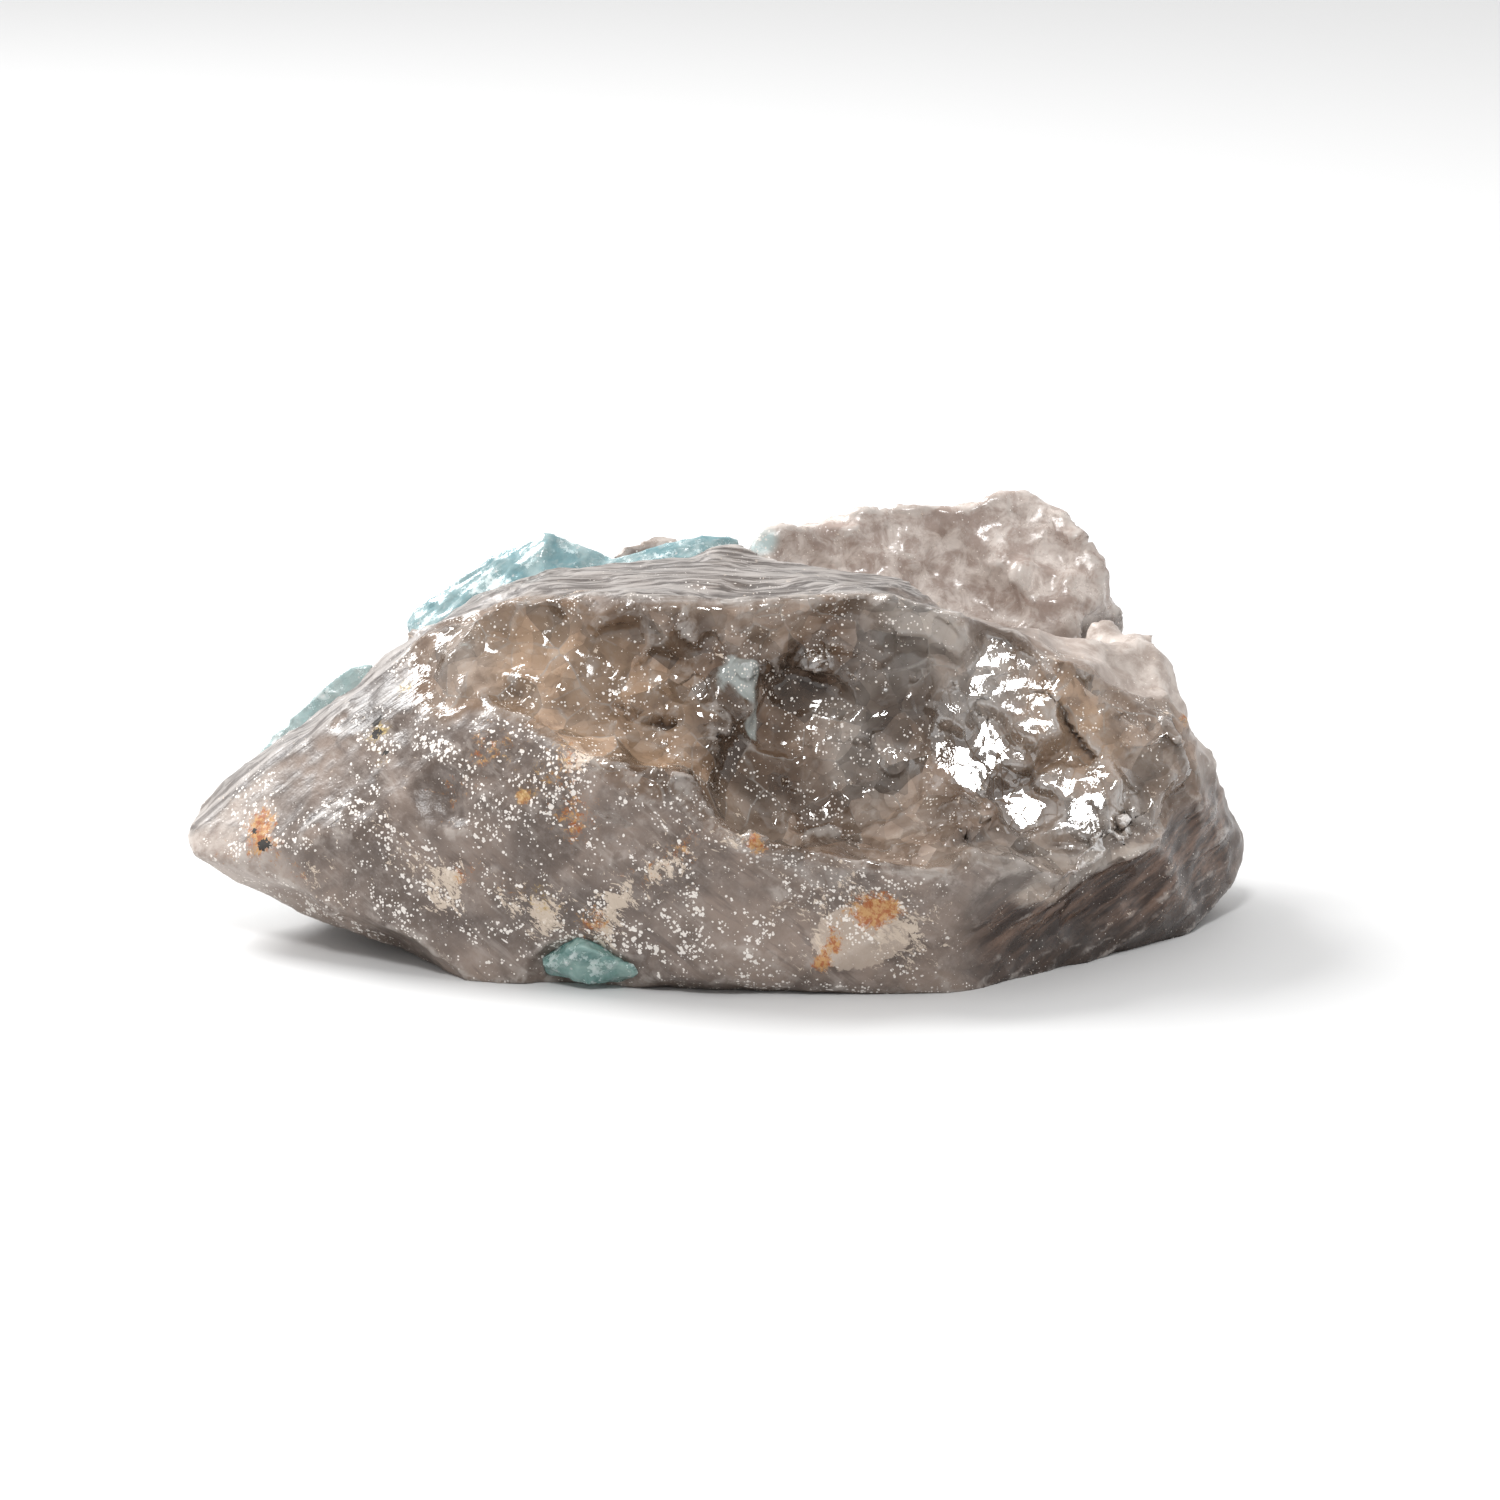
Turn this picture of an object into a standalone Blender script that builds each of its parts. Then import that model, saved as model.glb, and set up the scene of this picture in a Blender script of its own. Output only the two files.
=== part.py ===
"""Aquamarine in quartz: a broken lump of smoky quartz with blue beryl crystals grown into it.

One solid is the quartz. Each blue crystal that shows is a solid of its own, in a pocket of the
quartz. Places and lengths are in millimetres, as (right, back, up), until a mesh is made."""

import math
import random

import bmesh
import bpy
import numpy as np
from mathutils import Vector, noise

MM = 0.001
CRYSTAL_GAP = 0.3
GRAIN = 0.5              # the edge of the even mesh that the small scars are pushed into
GROUND = 0.45            # the height up to which the lowest points are worn flat
QUARTZ_TRIANGLES = 7600
RINGS = 6
SPOKES = 24
COLOURS = {
    "quartz": ((0.30, 0.25, 0.21), 0.25),
    "aquamarine": ((0.42, 0.66, 0.68), 0.35),
}

# Corners of the blocks that make up the quartz, which is one stone.
FRONT_MASS = (
    # the blunt left tip, which stands off the ground
    (-39.8, -3, 8), (-39, 0, 10), (-38.6, -5, 6.5), (-34, -5, 3.5), (-27.8, -8, 2.2),
    (-35.7, 2, 11.4), (-32.2, -3, 13.5), (-36, 3, 6),
    # the frosted front face and the feet under it
    (-28, -11, 10.5), (-24.7, -12, 3.2), (-19.6, -14.5, 0), (-1, -19, 1.8), (13, -18.5, 1),
    (19, -17.8, 0), (-16, -12.5, 19), (-5.2, -19, 16), (3.4, -21, 13), (14, -21, 10),
    # the right flank
    (21, -19, 8.9), (27.3, -16, 10.7), (34.3, -8, 15), (28.6, -8.5, 0), (36, -1.6, 0),
    (39.4, 3, 2.8), (40.7, 5.5, 5.5), (39.4, 7, 9.2), (37.7, 6, 13), (36, 4, 15.9),
    # the ridge over the hollow, and the flat top behind it
    (-20.2, -5, 24.4), (-15.7, -6, 26.8), (-6.8, -8, 27.9), (1.9, -8, 27.6), (12.6, -9, 28),
    (19.1, -9, 26.8), (25, -10, 23.6), (31.5, -8, 18.5), (-23.8, 3, 22.3), (-18, 4, 25.2),
    (-12, 5, 27.3), (-6, 6, 27), (1, 7, 27.6), (7, 5, 27.2), (14, 3, 26.6),
    # the back, low down
    (-33, 7, 9), (-24, 12, 13), (-8, 17, 18), (12, 20, 17), (28, 18, 14), (37, 11, 9),
    (-29, 8, 2.5), (-20, 13, 0), (-6, 18, 0), (12, 21, 0), (28, 18, 0), (36, 10, 0),
)
KNOLL = (
    (-2.5, 5, 27.2), (-0.2, 6, 28.5), (1.4, 6.5, 28.7), (4, 5.5, 28), (7.5, 4, 27.3), (0, 1, 27.4),
    (-1, 9, 27.2), (4, 9.5, 27.3), (-1, 8, 20), (5, 8, 20), (2, 1, 20),
)
BACK_RIM = (
    (-9.7, 12.5, 26.4), (-7.8, 13, 27), (-4.4, 13.5, 27.6), (-2.8, 13.5, 27.8), (-0.6, 13.5, 27.4),
    (3, 14, 26.4), (-10, 17, 20), (3, 18, 21), (-9, 18, 6), (4, 19, 6), (-9, 10, 20), (3, 10, 20),
)
BACK_SHELF = (
    (2.4, 11, 27.6), (3.6, 13, 28.5), (6.5, 14, 29.1), (10.4, 15, 29.9), (12, 16, 29.7), (19, 16, 29.5),
    (22, 17, 29.3), (5, 9, 20), (20, 9, 20), (4, 19, 22), (12, 22, 24), (22, 22, 24), (8, 24, 8),
    (20, 24, 5), (0, 18, 10),
)
BACK_PEAK = (
    (19.2, 15, 29.3), (22.1, 17, 30.8), (24.2, 17, 30.6), (27.3, 16, 29.0), (29.4, 14, 25.4), (31.5, 13, 22.3),
    (20, 10, 20), (29, 9.5, 20), (21, 22, 26), (25.5, 22, 26), (31, 19, 19), (20, 24, 5), (31, 21, 6),
)
RIGHT_BLOCK = (
    (22.6, 2, 23.4), (30.4, 8, 22.5), (33.5, 5, 22), (34.6, 3, 20.4), (35.8, 1, 18),
    (34.9, -4, 17.4), (31.5, -7.5, 18.5), (25, -9.5, 23.4), (21, -4, 24.5), (20, 6, 8),
    (34, 8, 8), (34, -4, 8),
)

# Fracture scars: a place on the skin, the way out of the stone there, the way the scar runs, its
# half length and half width, and its depth.
HOLLOW = (
    ((9.9, -15.5, 19.8), (0.1, -0.78, 0.62), (1, 0, -0.2), 15.5, 10.2, 7.2),
    ((23.2, -14.0, 16.8), (0.3, -0.8, 0.5), (1, 0.3, -0.5), 10.5, 8.6, 4.2),
    ((-2.2, -14.2, 21.6), (-0.05, -0.75, 0.66), (1, 0, -0.35), 11, 7.4, 3.8),
    ((-11.8, -10.8, 23.2), (-0.25, -0.73, 0.64), (1, -0.2, -0.55), 10.5, 4.4, 2.0),
    ((31.2, -9.8, 15.2), (0.6, -0.65, 0.42), (0.6, 0.8, -0.6), 5, 3.5, 0.8),
)
PLATE = (
    # the left half of the frosted face, and the dip to the right of its crease
    ((-19.6, -13.2, 14.0), (-0.36, -0.9, 0.24), (0.7, -0.1, -0.7), 14.5, 11.5, 1.25),
    ((-6.5, -18, 12.5), (-0.2, -0.97, 0.1), (1, -0.3, -0.5), 10, 5, 0.7),
    ((5.0, -20.1, 8.0), (0, -0.99, -0.1), (1, 0, -0.2), 9, 5.5, 0.8),
    # the dark face at the lower right, which lies behind the ledge at the end of the frosted one
    ((28.5, -12.2, 4.6), (0.62, -0.7, -0.3), (1, 0.9, 0.45), 14, 5.6, 2.3),
    ((19.6, -18.2, 4.2), (0.5, -0.82, -0.25), (1, 0.6, 0.6), 7, 4.6, 1.5),
    ((23, -15.5, 1.5), (0.5, -0.7, -0.5), (1, 0.7, 0), 6, 3, 1.2),
    ((36.6, -3, 5), (0.85, -0.5, -0.1), (0.5, 0.8, 0.3), 6, 4, 1.0),
    # the facets of the blunt right end
    ((35.2, -5.2, 11.2), (0.82, -0.55, -0.05), (0, 0.1, 1), 6, 3, 0.8),
    ((38.2, 0.5, 11.5), (0.95, -0.25, 0.1), (0.1, 0.1, 1), 5.5, 2.6, 0.7),
    ((40.2, 4.5, 8.5), (0.97, -0.1, 0.1), (0, 0.3, 1), 4, 2.4, 0.5),
    ((34.2, -5.4, 15.4), (0.75, -0.5, 0.45), (0.5, 0.5, -0.6), 4, 2.2, 0.5),
    # under the tip, and the arch under the front face
    ((-33, -6, 4.2), (-0.4, -0.5, -0.8), (1, -0.3, -0.3), 8, 4, 1.0),
    ((-24.5, -10.5, 2.2), (-0.4, -0.6, -0.7), (1, -0.5, -0.4), 5, 3, 0.8),
    ((-9.2, -17.4, 2.2), (-0.2, -0.8, -0.6), (1, -0.25, 0.05), 5, 3.2, 1.5),
    ((6, -19.2, 0.9), (0, -0.8, -0.6), (1, 0, -0.05), 5, 2.2, 0.6),
    # the frosted bevel over the tip
    ((-31, 0.6, 15.9), (-0.5, 0, 0.85), (1, 0, 0.9), 6.5, 2.4, 0.5),
    ((-25.5, -5.5, 19.5), (-0.5, -0.5, 0.7), (1, 0, 0.9), 8, 4, 0.6),
)
TOP = (
    # the flat strip over the hollow, its left shoulder, and its fall to the right
    ((1, -3.2, 27.8), (0, 0.08, 1), (1, 0, 0), 17, 4.6, 0.75),
    ((-15.5, -1.5, 26.2), (-0.3, 0, 0.95), (1, 0, 0.4), 7, 4, 0.5),
    ((16.5, -3.5, 26.9), (0.25, 0, 0.97), (1, -0.3, -0.25), 9, 4.5, 0.9),
    # the right block's pale steps
    ((28.5, -3.5, 22), (0.45, -0.25, 0.85), (1, 0.3, -0.5), 5, 3, 0.5),
    ((26, 4.5, 23.2), (0, -0.1, 1), (1, 0.2, -0.1), 6, 3, 0.7),
    ((34.6, -1, 19), (0.9, -0.2, 0.4), (0, 1, -0.1), 4, 2.2, 0.4),
    # the back lump's front, left to right
    ((5.5, 10.8, 26.6), (-0.3, -0.7, 0.7), (1, 0.3, 0.3), 4, 2.4, 0.7),
    ((9.5, 12.2, 27.2), (0.1, -0.75, 0.65), (1, 0.2, -0.2), 4.5, 2.8, 0.8),
    ((15.5, 13.6, 27), (0.15, -0.8, 0.6), (1, 0.1, 0.4), 5.5, 3.5, 1.1),
    ((14, 11.5, 24.9), (0.1, -0.75, 0.65), (1, 0, -0.2), 5, 2.4, 0.7),
    ((20.5, 12.8, 25), (-0.1, -0.85, 0.5), (0.3, 0, 1), 4.5, 3, 0.9),
    ((25.5, 13.6, 26.4), (0.15, -0.78, 0.6), (0.5, 0, -1), 4.5, 2.8, 0.8),
    ((29.2, 12.4, 23.6), (0.5, -0.6, 0.6), (0.4, 0, -1), 3.5, 2.2, 0.5),
    ((16.5, 17, 29.9), (0, 0.2, 1), (1, 0, 0), 4, 2.4, 0.6),
)
BACK = (
    ((-22, 13, 9), (-0.5, 0.8, 0.1), (1, 0.6, 0), 8, 5, 1.2),
    ((-30, 7, 5), (-0.8, 0.5, -0.1), (0.4, 0.8, 0), 6, 4, 0.8),
    ((-5, 18, 10), (-0.2, 0.95, 0.2), (1, 0.1, 0.5), 10, 7, 1.8),
    ((8, 20.5, 12), (0.1, 0.95, 0.3), (0.3, 0, 1), 11, 8, 2.2),
    ((20, 21.5, 16), (0.1, 0.9, 0.4), (1, 0, -0.6), 9, 6, 1.6),
    ((27, 19.5, 8), (0.4, 0.9, 0), (0.8, -0.4, 1), 9, 6, 1.6),
    ((35, 12, 9), (0.75, 0.65, 0.1), (0.5, -0.6, 0.6), 8, 6, 1.4),
    ((38.5, 6, 12), (0.9, 0.2, 0.4), (0.2, 1, 0.2), 4, 3, 0.6),
    ((-12, 15, 5), (-0.4, 0.9, -0.1), (1, 0.4, -0.2), 7, 4, 1.0),
    ((14, 21, 3), (0, 0.95, -0.2), (1, 0, 0.1), 8, 4, 1.0),
    ((12, 19.5, 24.5), (-0.1, 0.75, 0.65), (1, 0, 0.1), 7, 4, 1.0),
    ((24, 20.2, 28.2), (0.2, 0.75, 0.6), (1, 0, -0.6), 5, 3.2, 0.7),
    ((31.2, 15.5, 21.6), (0.75, 0.4, 0.5), (0.3, 0.6, -0.8), 6, 3.6, 0.6),
    ((34, 9, 17), (0.6, 0.4, 0.7), (1, -0.8, -0.4), 5, 4, 0.9),
)

# Corners of the crystals. The upper one is two crystals grown together.
LOWER_CRYSTAL = (
    (-35.6, 4.6, 11.2), (-34.6, 5, 12.7), (-32.9, 5, 14.6), (-29.7, 5.2, 17.5), (-28.7, 5.5, 18.4),
    (-27.6, 5.5, 19.1), (-26.1, 5.6, 19.4), (-34.3, 8.2, 8.8), (-30.2, 9.6, 11.8), (-25.8, 10.2, 15.2),
    (-33, 9, 5.8), (-25.3, 11, 10.9), (-34, 3.6, 7.6), (-26, 4, 14), (-31, 4.6, 4.8), (-24.9, 6, 9.6),
)
HILL_CRYSTAL = (
    (-23.4, 8, 22.1), (-22.9, 8, 22.9), (-21.7, 8, 23.75), (-19.9, 8, 25.1), (-17.8, 8, 26.4),
    (-16.3, 8, 27.5), (-14.6, 8, 28.3), (-13, 8, 29.05), (-12, 8, 28.8), (-9.6, 8.2, 27.7),
    (-7.2, 8.4, 26.7), (-22, 5.2, 21), (-13, 5.4, 26.4), (-8.5, 5.6, 25.4), (-21.6, 11.5, 17.5),
    (-13, 13.5, 23.5), (-8.6, 12, 24.6), (-20.6, 13.8, 12.5), (-10, 16, 18), (-21.5, 6, 15), (-12, 7, 18),
    (-18, 9, 11.5), (-9, 10, 16.5),
)
CREST_CRYSTAL = (
    (-8.6, 7.6, 26.9), (-6.5, 8, 27.15), (-4.5, 8.4, 27.6), (-3, 8.6, 28.2), (-1, 8.8, 28.65),
    (0.4, 9, 28.6), (1.6, 9.4, 28.1), (-7.5, 5.8, 25.8), (-1.5, 6.4, 26.6), (-8, 7, 22), (1, 7.5, 23),
    (-8, 11.4, 23), (1.4, 11, 24), (-6.5, 11, 26.4), (0, 11, 27.2),
)
BASE_CRYSTAL = (
    (-12.3, -16.4, 2.2), (-9.8, -18.1, 4.1), (-8.4, -18.2, 3.6), (-5.4, -17.4, 1.9), (-9, -17.3, 1.1),
    (-12, -15.4, 1.2), (-6, -15.6, 0.9), (-12, -6, 1.4), (-6.5, -6, 1.2), (-12, -7, 4.6), (-6.5, -7, 4.2),
    (-9.5, -7, 6),
)


def new_object(name, mesh):
    obj = bpy.data.objects.new(name, mesh)
    bpy.context.scene.collection.objects.link(obj)
    return obj


def block(name, corners):
    """The convex solid that stretches over the corners."""
    shape = bmesh.new()
    for corner in corners:
        shape.verts.new(Vector(corner) * MM)
    bmesh.ops.convex_hull(shape, input=shape.verts, use_existing_faces=False)
    loose = [vert for vert in shape.verts if not vert.link_faces]
    bmesh.ops.delete(shape, geom=loose, context="VERTS")
    bmesh.ops.recalc_face_normals(shape, faces=shape.faces)
    mesh = bpy.data.meshes.new(name)
    shape.to_mesh(mesh)
    shape.free()
    return new_object(name, mesh)


def with_modifier(obj, kind, **settings):
    """Gives the object a modifier and applies it."""
    modifier = obj.modifiers.new(kind.title(), kind)
    for setting, value in settings.items():
        setattr(modifier, setting, value)
    graph = bpy.context.evaluated_depsgraph_get()
    made = bpy.data.meshes.new_from_object(obj.evaluated_get(graph))
    obj.modifiers.clear()
    obj.data = made
    return obj


def combined(obj, other, operation):
    """Joins other to the object, or cuts it away, and deletes other."""
    with_modifier(obj, "BOOLEAN", operation=operation, solver="EXACT", object=other)
    bpy.data.objects.remove(other)
    return obj


def bowl(place, outward, along, half_length, half_width, depth):
    """The solid that a scar takes away: a cap of a stretched ball, with a lid over the skin."""
    out = Vector(outward).normalized()
    side = out.cross(Vector(along)).normalized()
    run = side.cross(out) * (half_length / half_width)
    radius = (half_width**2 + depth**2) / (2 * depth)
    centre = Vector(place) + out * (radius - depth)
    lid = max(radius - depth - max(depth, 1.5), 0)
    steepest = math.acos(lid / radius)
    shape = bmesh.new()
    rings = []
    for i in range(1, RINGS + 1):
        fall = steepest * i / RINGS
        ring = []
        for j in range(SPOKES):
            turn = 2 * math.pi * j / SPOKES
            way = (run * math.cos(turn) + side * math.sin(turn)) * math.sin(fall) - out * math.cos(fall)
            swell = 1 + 0.1 * noise.noise(way * 2.1 + centre)
            ring.append(shape.verts.new((centre + way * radius * swell) * MM))
        rings.append(ring)
    rings.append([shape.verts.new(vert.co + out * 3 * MM) for vert in rings[-1]])
    low = shape.verts.new((centre - out * radius) * MM)
    for j in range(SPOKES):
        after = (j + 1) % SPOKES
        shape.faces.new((low, rings[0][j], rings[0][after]))
        for ring, over in zip(rings, rings[1:]):
            shape.faces.new((ring[j], over[j], over[after], ring[after]))
    shape.faces.new(rings[-1])
    bmesh.ops.recalc_face_normals(shape, faces=shape.faces)
    mesh = bpy.data.meshes.new("bowl")
    shape.to_mesh(mesh)
    shape.free()
    return new_object("bowl", mesh)


def scarred(obj, scars):
    for scar in scars:
        combined(obj, bowl(*scar), "DIFFERENCE")
    return obj


def skin_of(obj):
    """The object's points in millimetres, and the way out of it at each."""
    mesh = obj.data
    points = np.empty(len(mesh.vertices) * 3)
    mesh.vertices.foreach_get("co", points)
    outward = np.empty(len(mesh.vertices) * 3)
    mesh.vertex_normals.foreach_get("vector", outward)
    return points.reshape(-1, 3) / MM, outward.reshape(-1, 3)


def set_points(obj, points):
    obj.data.vertices.foreach_set("co", (points * MM).ravel())
    obj.data.update()


def chip(points, outward, centre, lean, half_width, stretch, depth):
    """Pushes the skin round the centre down into one shallow scar."""
    near = np.linalg.norm(points - centre, axis=1) < half_width
    if not near.any():
        return
    out = Vector(outward[near].mean(axis=0)).normalized()
    out = (out + lean * 0.2).normalized()
    side = out.cross(lean.yzx).normalized()
    facing = points[near & (outward @ np.array(out) > 0.3)]
    if not len(facing):
        return
    middle = facing.mean(axis=0)
    local = (points - middle) @ np.array((side.cross(out) / stretch, side, out)).T
    reach = np.hypot(local[:, 0], local[:, 1]) / half_width
    radius = (half_width**2 + depth**2) / (2 * depth)
    floor = radius - depth - np.sqrt(np.maximum(radius**2 - (reach * half_width) ** 2, 0))
    over = local[:, 2] - floor
    # Skin that stands far over the scar's floor, as a ridge or another side does, is left alone.
    push = np.clip(np.minimum(over, 4 * depth - over), 0, None) * np.clip((1.4 - reach) / 0.3, 0, 1)
    push[outward @ np.array(out) < 0] = 0
    points -= push[:, None] * np.array(out)


def chipped(obj, count, widths, depth_share, where, seed):
    """Makes small scars at random places where the test holds.

    Each scar has dice of its own, so that the mesh's grain doesn't change where the scars are."""
    points, outward = skin_of(obj)
    fit = points[where(points, outward)]
    span = list(zip(fit.min(axis=0), fit.max(axis=0)))
    for i in range(count):
        dice = random.Random(1000 * seed + i)
        aim = np.array([dice.uniform(low, high) for low, high in span])
        centre = fit[np.linalg.norm(fit - aim, axis=1).argmin()]
        lean = Vector([dice.uniform(-1, 1) for _ in range(3)])
        half_width = dice.uniform(*widths)
        depth = half_width * dice.uniform(*depth_share)
        chip(points, outward, centre, lean, half_width, dice.uniform(1, 1.8), depth)
    set_points(obj, points)
    return obj


def roughened(obj, height, width, seed):
    """Moves the skin in and out by a smooth random height."""
    points, outward = skin_of(obj)
    offset = Vector((seed * 17.3, seed * 5.1, seed * 9.7))
    swell = np.array([noise.noise(Vector(p) / width + offset) for p in points])
    set_points(obj, points + outward * (swell * height)[:, None])
    return obj


def worn_flat(obj):
    """Takes the stone's lowest points off at one level, which is the face that it rests on."""
    ground = [(x, y, z) for x in (-60, 60) for y in (-60, 60) for z in (-9, GROUND)]
    return combined(obj, block("ground", ground), "DIFFERENCE")


def quartz_mass():
    stone = block("quartz", FRONT_MASS)
    for corners in (KNOLL, BACK_RIM, BACK_SHELF, BACK_PEAK, RIGHT_BLOCK):
        combined(stone, block("lump", corners), "UNION")
    return stone


def in_hollow(points, outward):
    x, y, z = points.T
    return (outward[:, 1] < -0.1) & (abs(x - 7) < 24) & (z > 9) & (z < 25) & (y > -16.5 + 0.2 * abs(x - 9))


def on_back(points, outward):
    return (outward[:, 1] > 0.35) & (points[:, 1] > 6) & (points[:, 2] < 22)


def on_lump(points, outward):
    return (outward[:, 1] < -0.2) & (points[:, 1] > 9) & (points[:, 2] > 21) & (points[:, 0] > 5)


def on_right(points, outward):
    return (outward[:, 0] > 0.5) & (points[:, 0] > 26)


def anywhere(points, outward):
    return outward[:, 2] > -2


def quartz_stone(grain):
    stone = quartz_mass()
    for scars in (HOLLOW, PLATE, TOP, BACK):
        scarred(stone, scars)
    with_modifier(stone, "REMESH", mode="VOXEL", voxel_size=grain * MM)
    chipped(stone, 30, (1.8, 4.0), (0.12, 0.2), in_hollow, seed=4)
    chipped(stone, 40, (3.0, 6.0), (0.06, 0.13), on_back, seed=7)
    chipped(stone, 14, (1.2, 2.4), (0.12, 0.2), on_lump, seed=2)
    chipped(stone, 16, (1.5, 3.0), (0.1, 0.16), on_right, seed=5)
    chipped(stone, 40, (1.2, 2.6), (0.05, 0.1), anywhere, seed=3)
    roughened(stone, 0.3, 4.0, seed=1)
    roughened(stone, 0.12, 1.5, seed=2)
    with_modifier(stone, "REMESH", mode="VOXEL", voxel_size=grain * MM)
    return stone


def swollen(corners, gap):
    """The corners, moved out by the gap all round."""
    steps = (-1, 0, 1)
    ways = [Vector((x, y, z)).normalized() for x in steps for y in steps for z in steps]
    return [Vector(corner) + way * gap for corner in corners for way in ways]


def crystal(name, shapes, gap=0):
    """The crystals of the shapes, grown together; with a gap, the pocket they sit in."""
    made = None
    for corners in shapes:
        grown = block(name, swollen(corners, gap) if gap else corners)
        made = combined(made, grown, "UNION") if made else grown
    return made


def finished(obj):
    """Splits the faces into triangles and gives the object its material."""
    shape = bmesh.new()
    shape.from_mesh(obj.data)
    bmesh.ops.remove_doubles(shape, verts=shape.verts, dist=0.00001)
    bmesh.ops.triangulate(shape, faces=shape.faces)
    shape.to_mesh(obj.data)
    shape.free()
    kind = obj.name.split("_")[0]
    colour, roughness = COLOURS[kind]
    material = bpy.data.materials.new(obj.name)
    material.use_nodes = True
    shade = material.node_tree.nodes["Principled BSDF"]
    shade.inputs["Base Color"].default_value = (*colour, 1)
    shade.inputs["Roughness"].default_value = roughness
    shade.inputs["Transmission Weight"].default_value = 0.5
    shade.inputs["IOR"].default_value = 1.55
    obj.data.materials.clear()
    obj.data.materials.append(material)


def set_down(objects):
    """Moves everything together, so that the middle of its underside is at the origin."""
    skins = [skin_of(obj)[0] for obj in objects]
    low = np.min([points.min(axis=0) for points in skins], axis=0)
    high = np.max([points.max(axis=0) for points in skins], axis=0)
    middle = np.array(((low[0] + high[0]) / 2, (low[1] + high[1]) / 2, low[2]))
    for obj, points in zip(objects, skins):
        set_points(obj, points - middle)
    print("moved by", -middle, "size", high - low)


def main():
    for obj in list(bpy.data.objects):
        bpy.data.objects.remove(obj)
    stone = quartz_stone(GRAIN)
    with_modifier(stone, "DECIMATE", ratio=QUARTZ_TRIANGLES / (2 * len(stone.data.polygons)))
    worn_flat(stone)
    crystals = {
        "aquamarine_lower": (LOWER_CRYSTAL,),
        "aquamarine_upper": (HILL_CRYSTAL, CREST_CRYSTAL),
        "aquamarine_base": (BASE_CRYSTAL,),
    }
    for name, shapes in crystals.items():
        combined(stone, crystal("pocket", shapes, CRYSTAL_GAP), "DIFFERENCE")
        crystal(name, shapes)
    for obj in bpy.data.objects:
        finished(obj)
    set_down(bpy.data.objects)


main()
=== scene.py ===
"""Aquamarine in quartz: the look of a broken lump of smoky quartz with blue beryl crystals.

The stone is made again from the same corners and scars as its solids, on a finer mesh, and gets the
scoops, mirrors, small chips, striations and grain that the solids leave out. Places are in
millimetres, as (right, back, up), until a mesh is made. The frame's origin is at MIDDLE."""

import math
import random
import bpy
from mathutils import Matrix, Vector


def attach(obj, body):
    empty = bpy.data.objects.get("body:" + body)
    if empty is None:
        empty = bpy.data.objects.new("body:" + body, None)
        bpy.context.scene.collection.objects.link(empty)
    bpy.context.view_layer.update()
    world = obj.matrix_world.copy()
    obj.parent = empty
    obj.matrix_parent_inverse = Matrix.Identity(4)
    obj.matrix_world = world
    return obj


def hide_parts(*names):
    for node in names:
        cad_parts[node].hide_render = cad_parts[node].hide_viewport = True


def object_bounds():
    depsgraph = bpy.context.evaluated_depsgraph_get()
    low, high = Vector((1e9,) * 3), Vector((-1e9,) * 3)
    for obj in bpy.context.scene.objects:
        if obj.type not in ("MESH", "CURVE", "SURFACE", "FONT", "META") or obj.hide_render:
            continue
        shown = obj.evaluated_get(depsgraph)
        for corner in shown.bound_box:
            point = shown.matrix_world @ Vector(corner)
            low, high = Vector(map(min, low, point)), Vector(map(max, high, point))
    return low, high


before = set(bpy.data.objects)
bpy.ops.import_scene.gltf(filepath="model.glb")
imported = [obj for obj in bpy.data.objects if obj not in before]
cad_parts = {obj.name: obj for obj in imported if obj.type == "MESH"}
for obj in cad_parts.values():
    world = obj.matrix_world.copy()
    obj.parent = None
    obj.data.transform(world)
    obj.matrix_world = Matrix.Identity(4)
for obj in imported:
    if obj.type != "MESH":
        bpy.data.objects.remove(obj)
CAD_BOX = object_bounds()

from types import SimpleNamespace

import bmesh
import bpy
import numpy as np
from mathutils import Vector, noise

MM = 0.001
GRAIN = 0.35             # the edge of the even mesh
POCKET = 0.1             # how far the crystals' pockets in the stone stand off their flat sides
SWELL = 0.15             # and how far the crystals' own skin does
MIDDLE = (0.461, 1.371, 0.45)
RINGS = 6
SPOKES = 24

WIDE_FACET = 3.4
SMALL_FACET = 1.3
SPLINTER = 1.3
QUARTZ_IOR = 1.544
BERYL_IOR = 1.575
CRACK_IOR = 2.2          # how strongly the cracks under the hollow's wall mirror
CRACK_ROUGHNESS = 0.05

LENS = 130.0
ELEVATION = math.radians(14)
PIXEL = 0.0751           # how many millimetres a pixel of the photograph covers at the target
PHOTO_WIDTH = 1500
LAMPS_AWAY = 0.6         # metres
FRONT_GLOW, BACK_GLOW = 0.57, 1.15
FLOOR_GREY = 0.6

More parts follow.
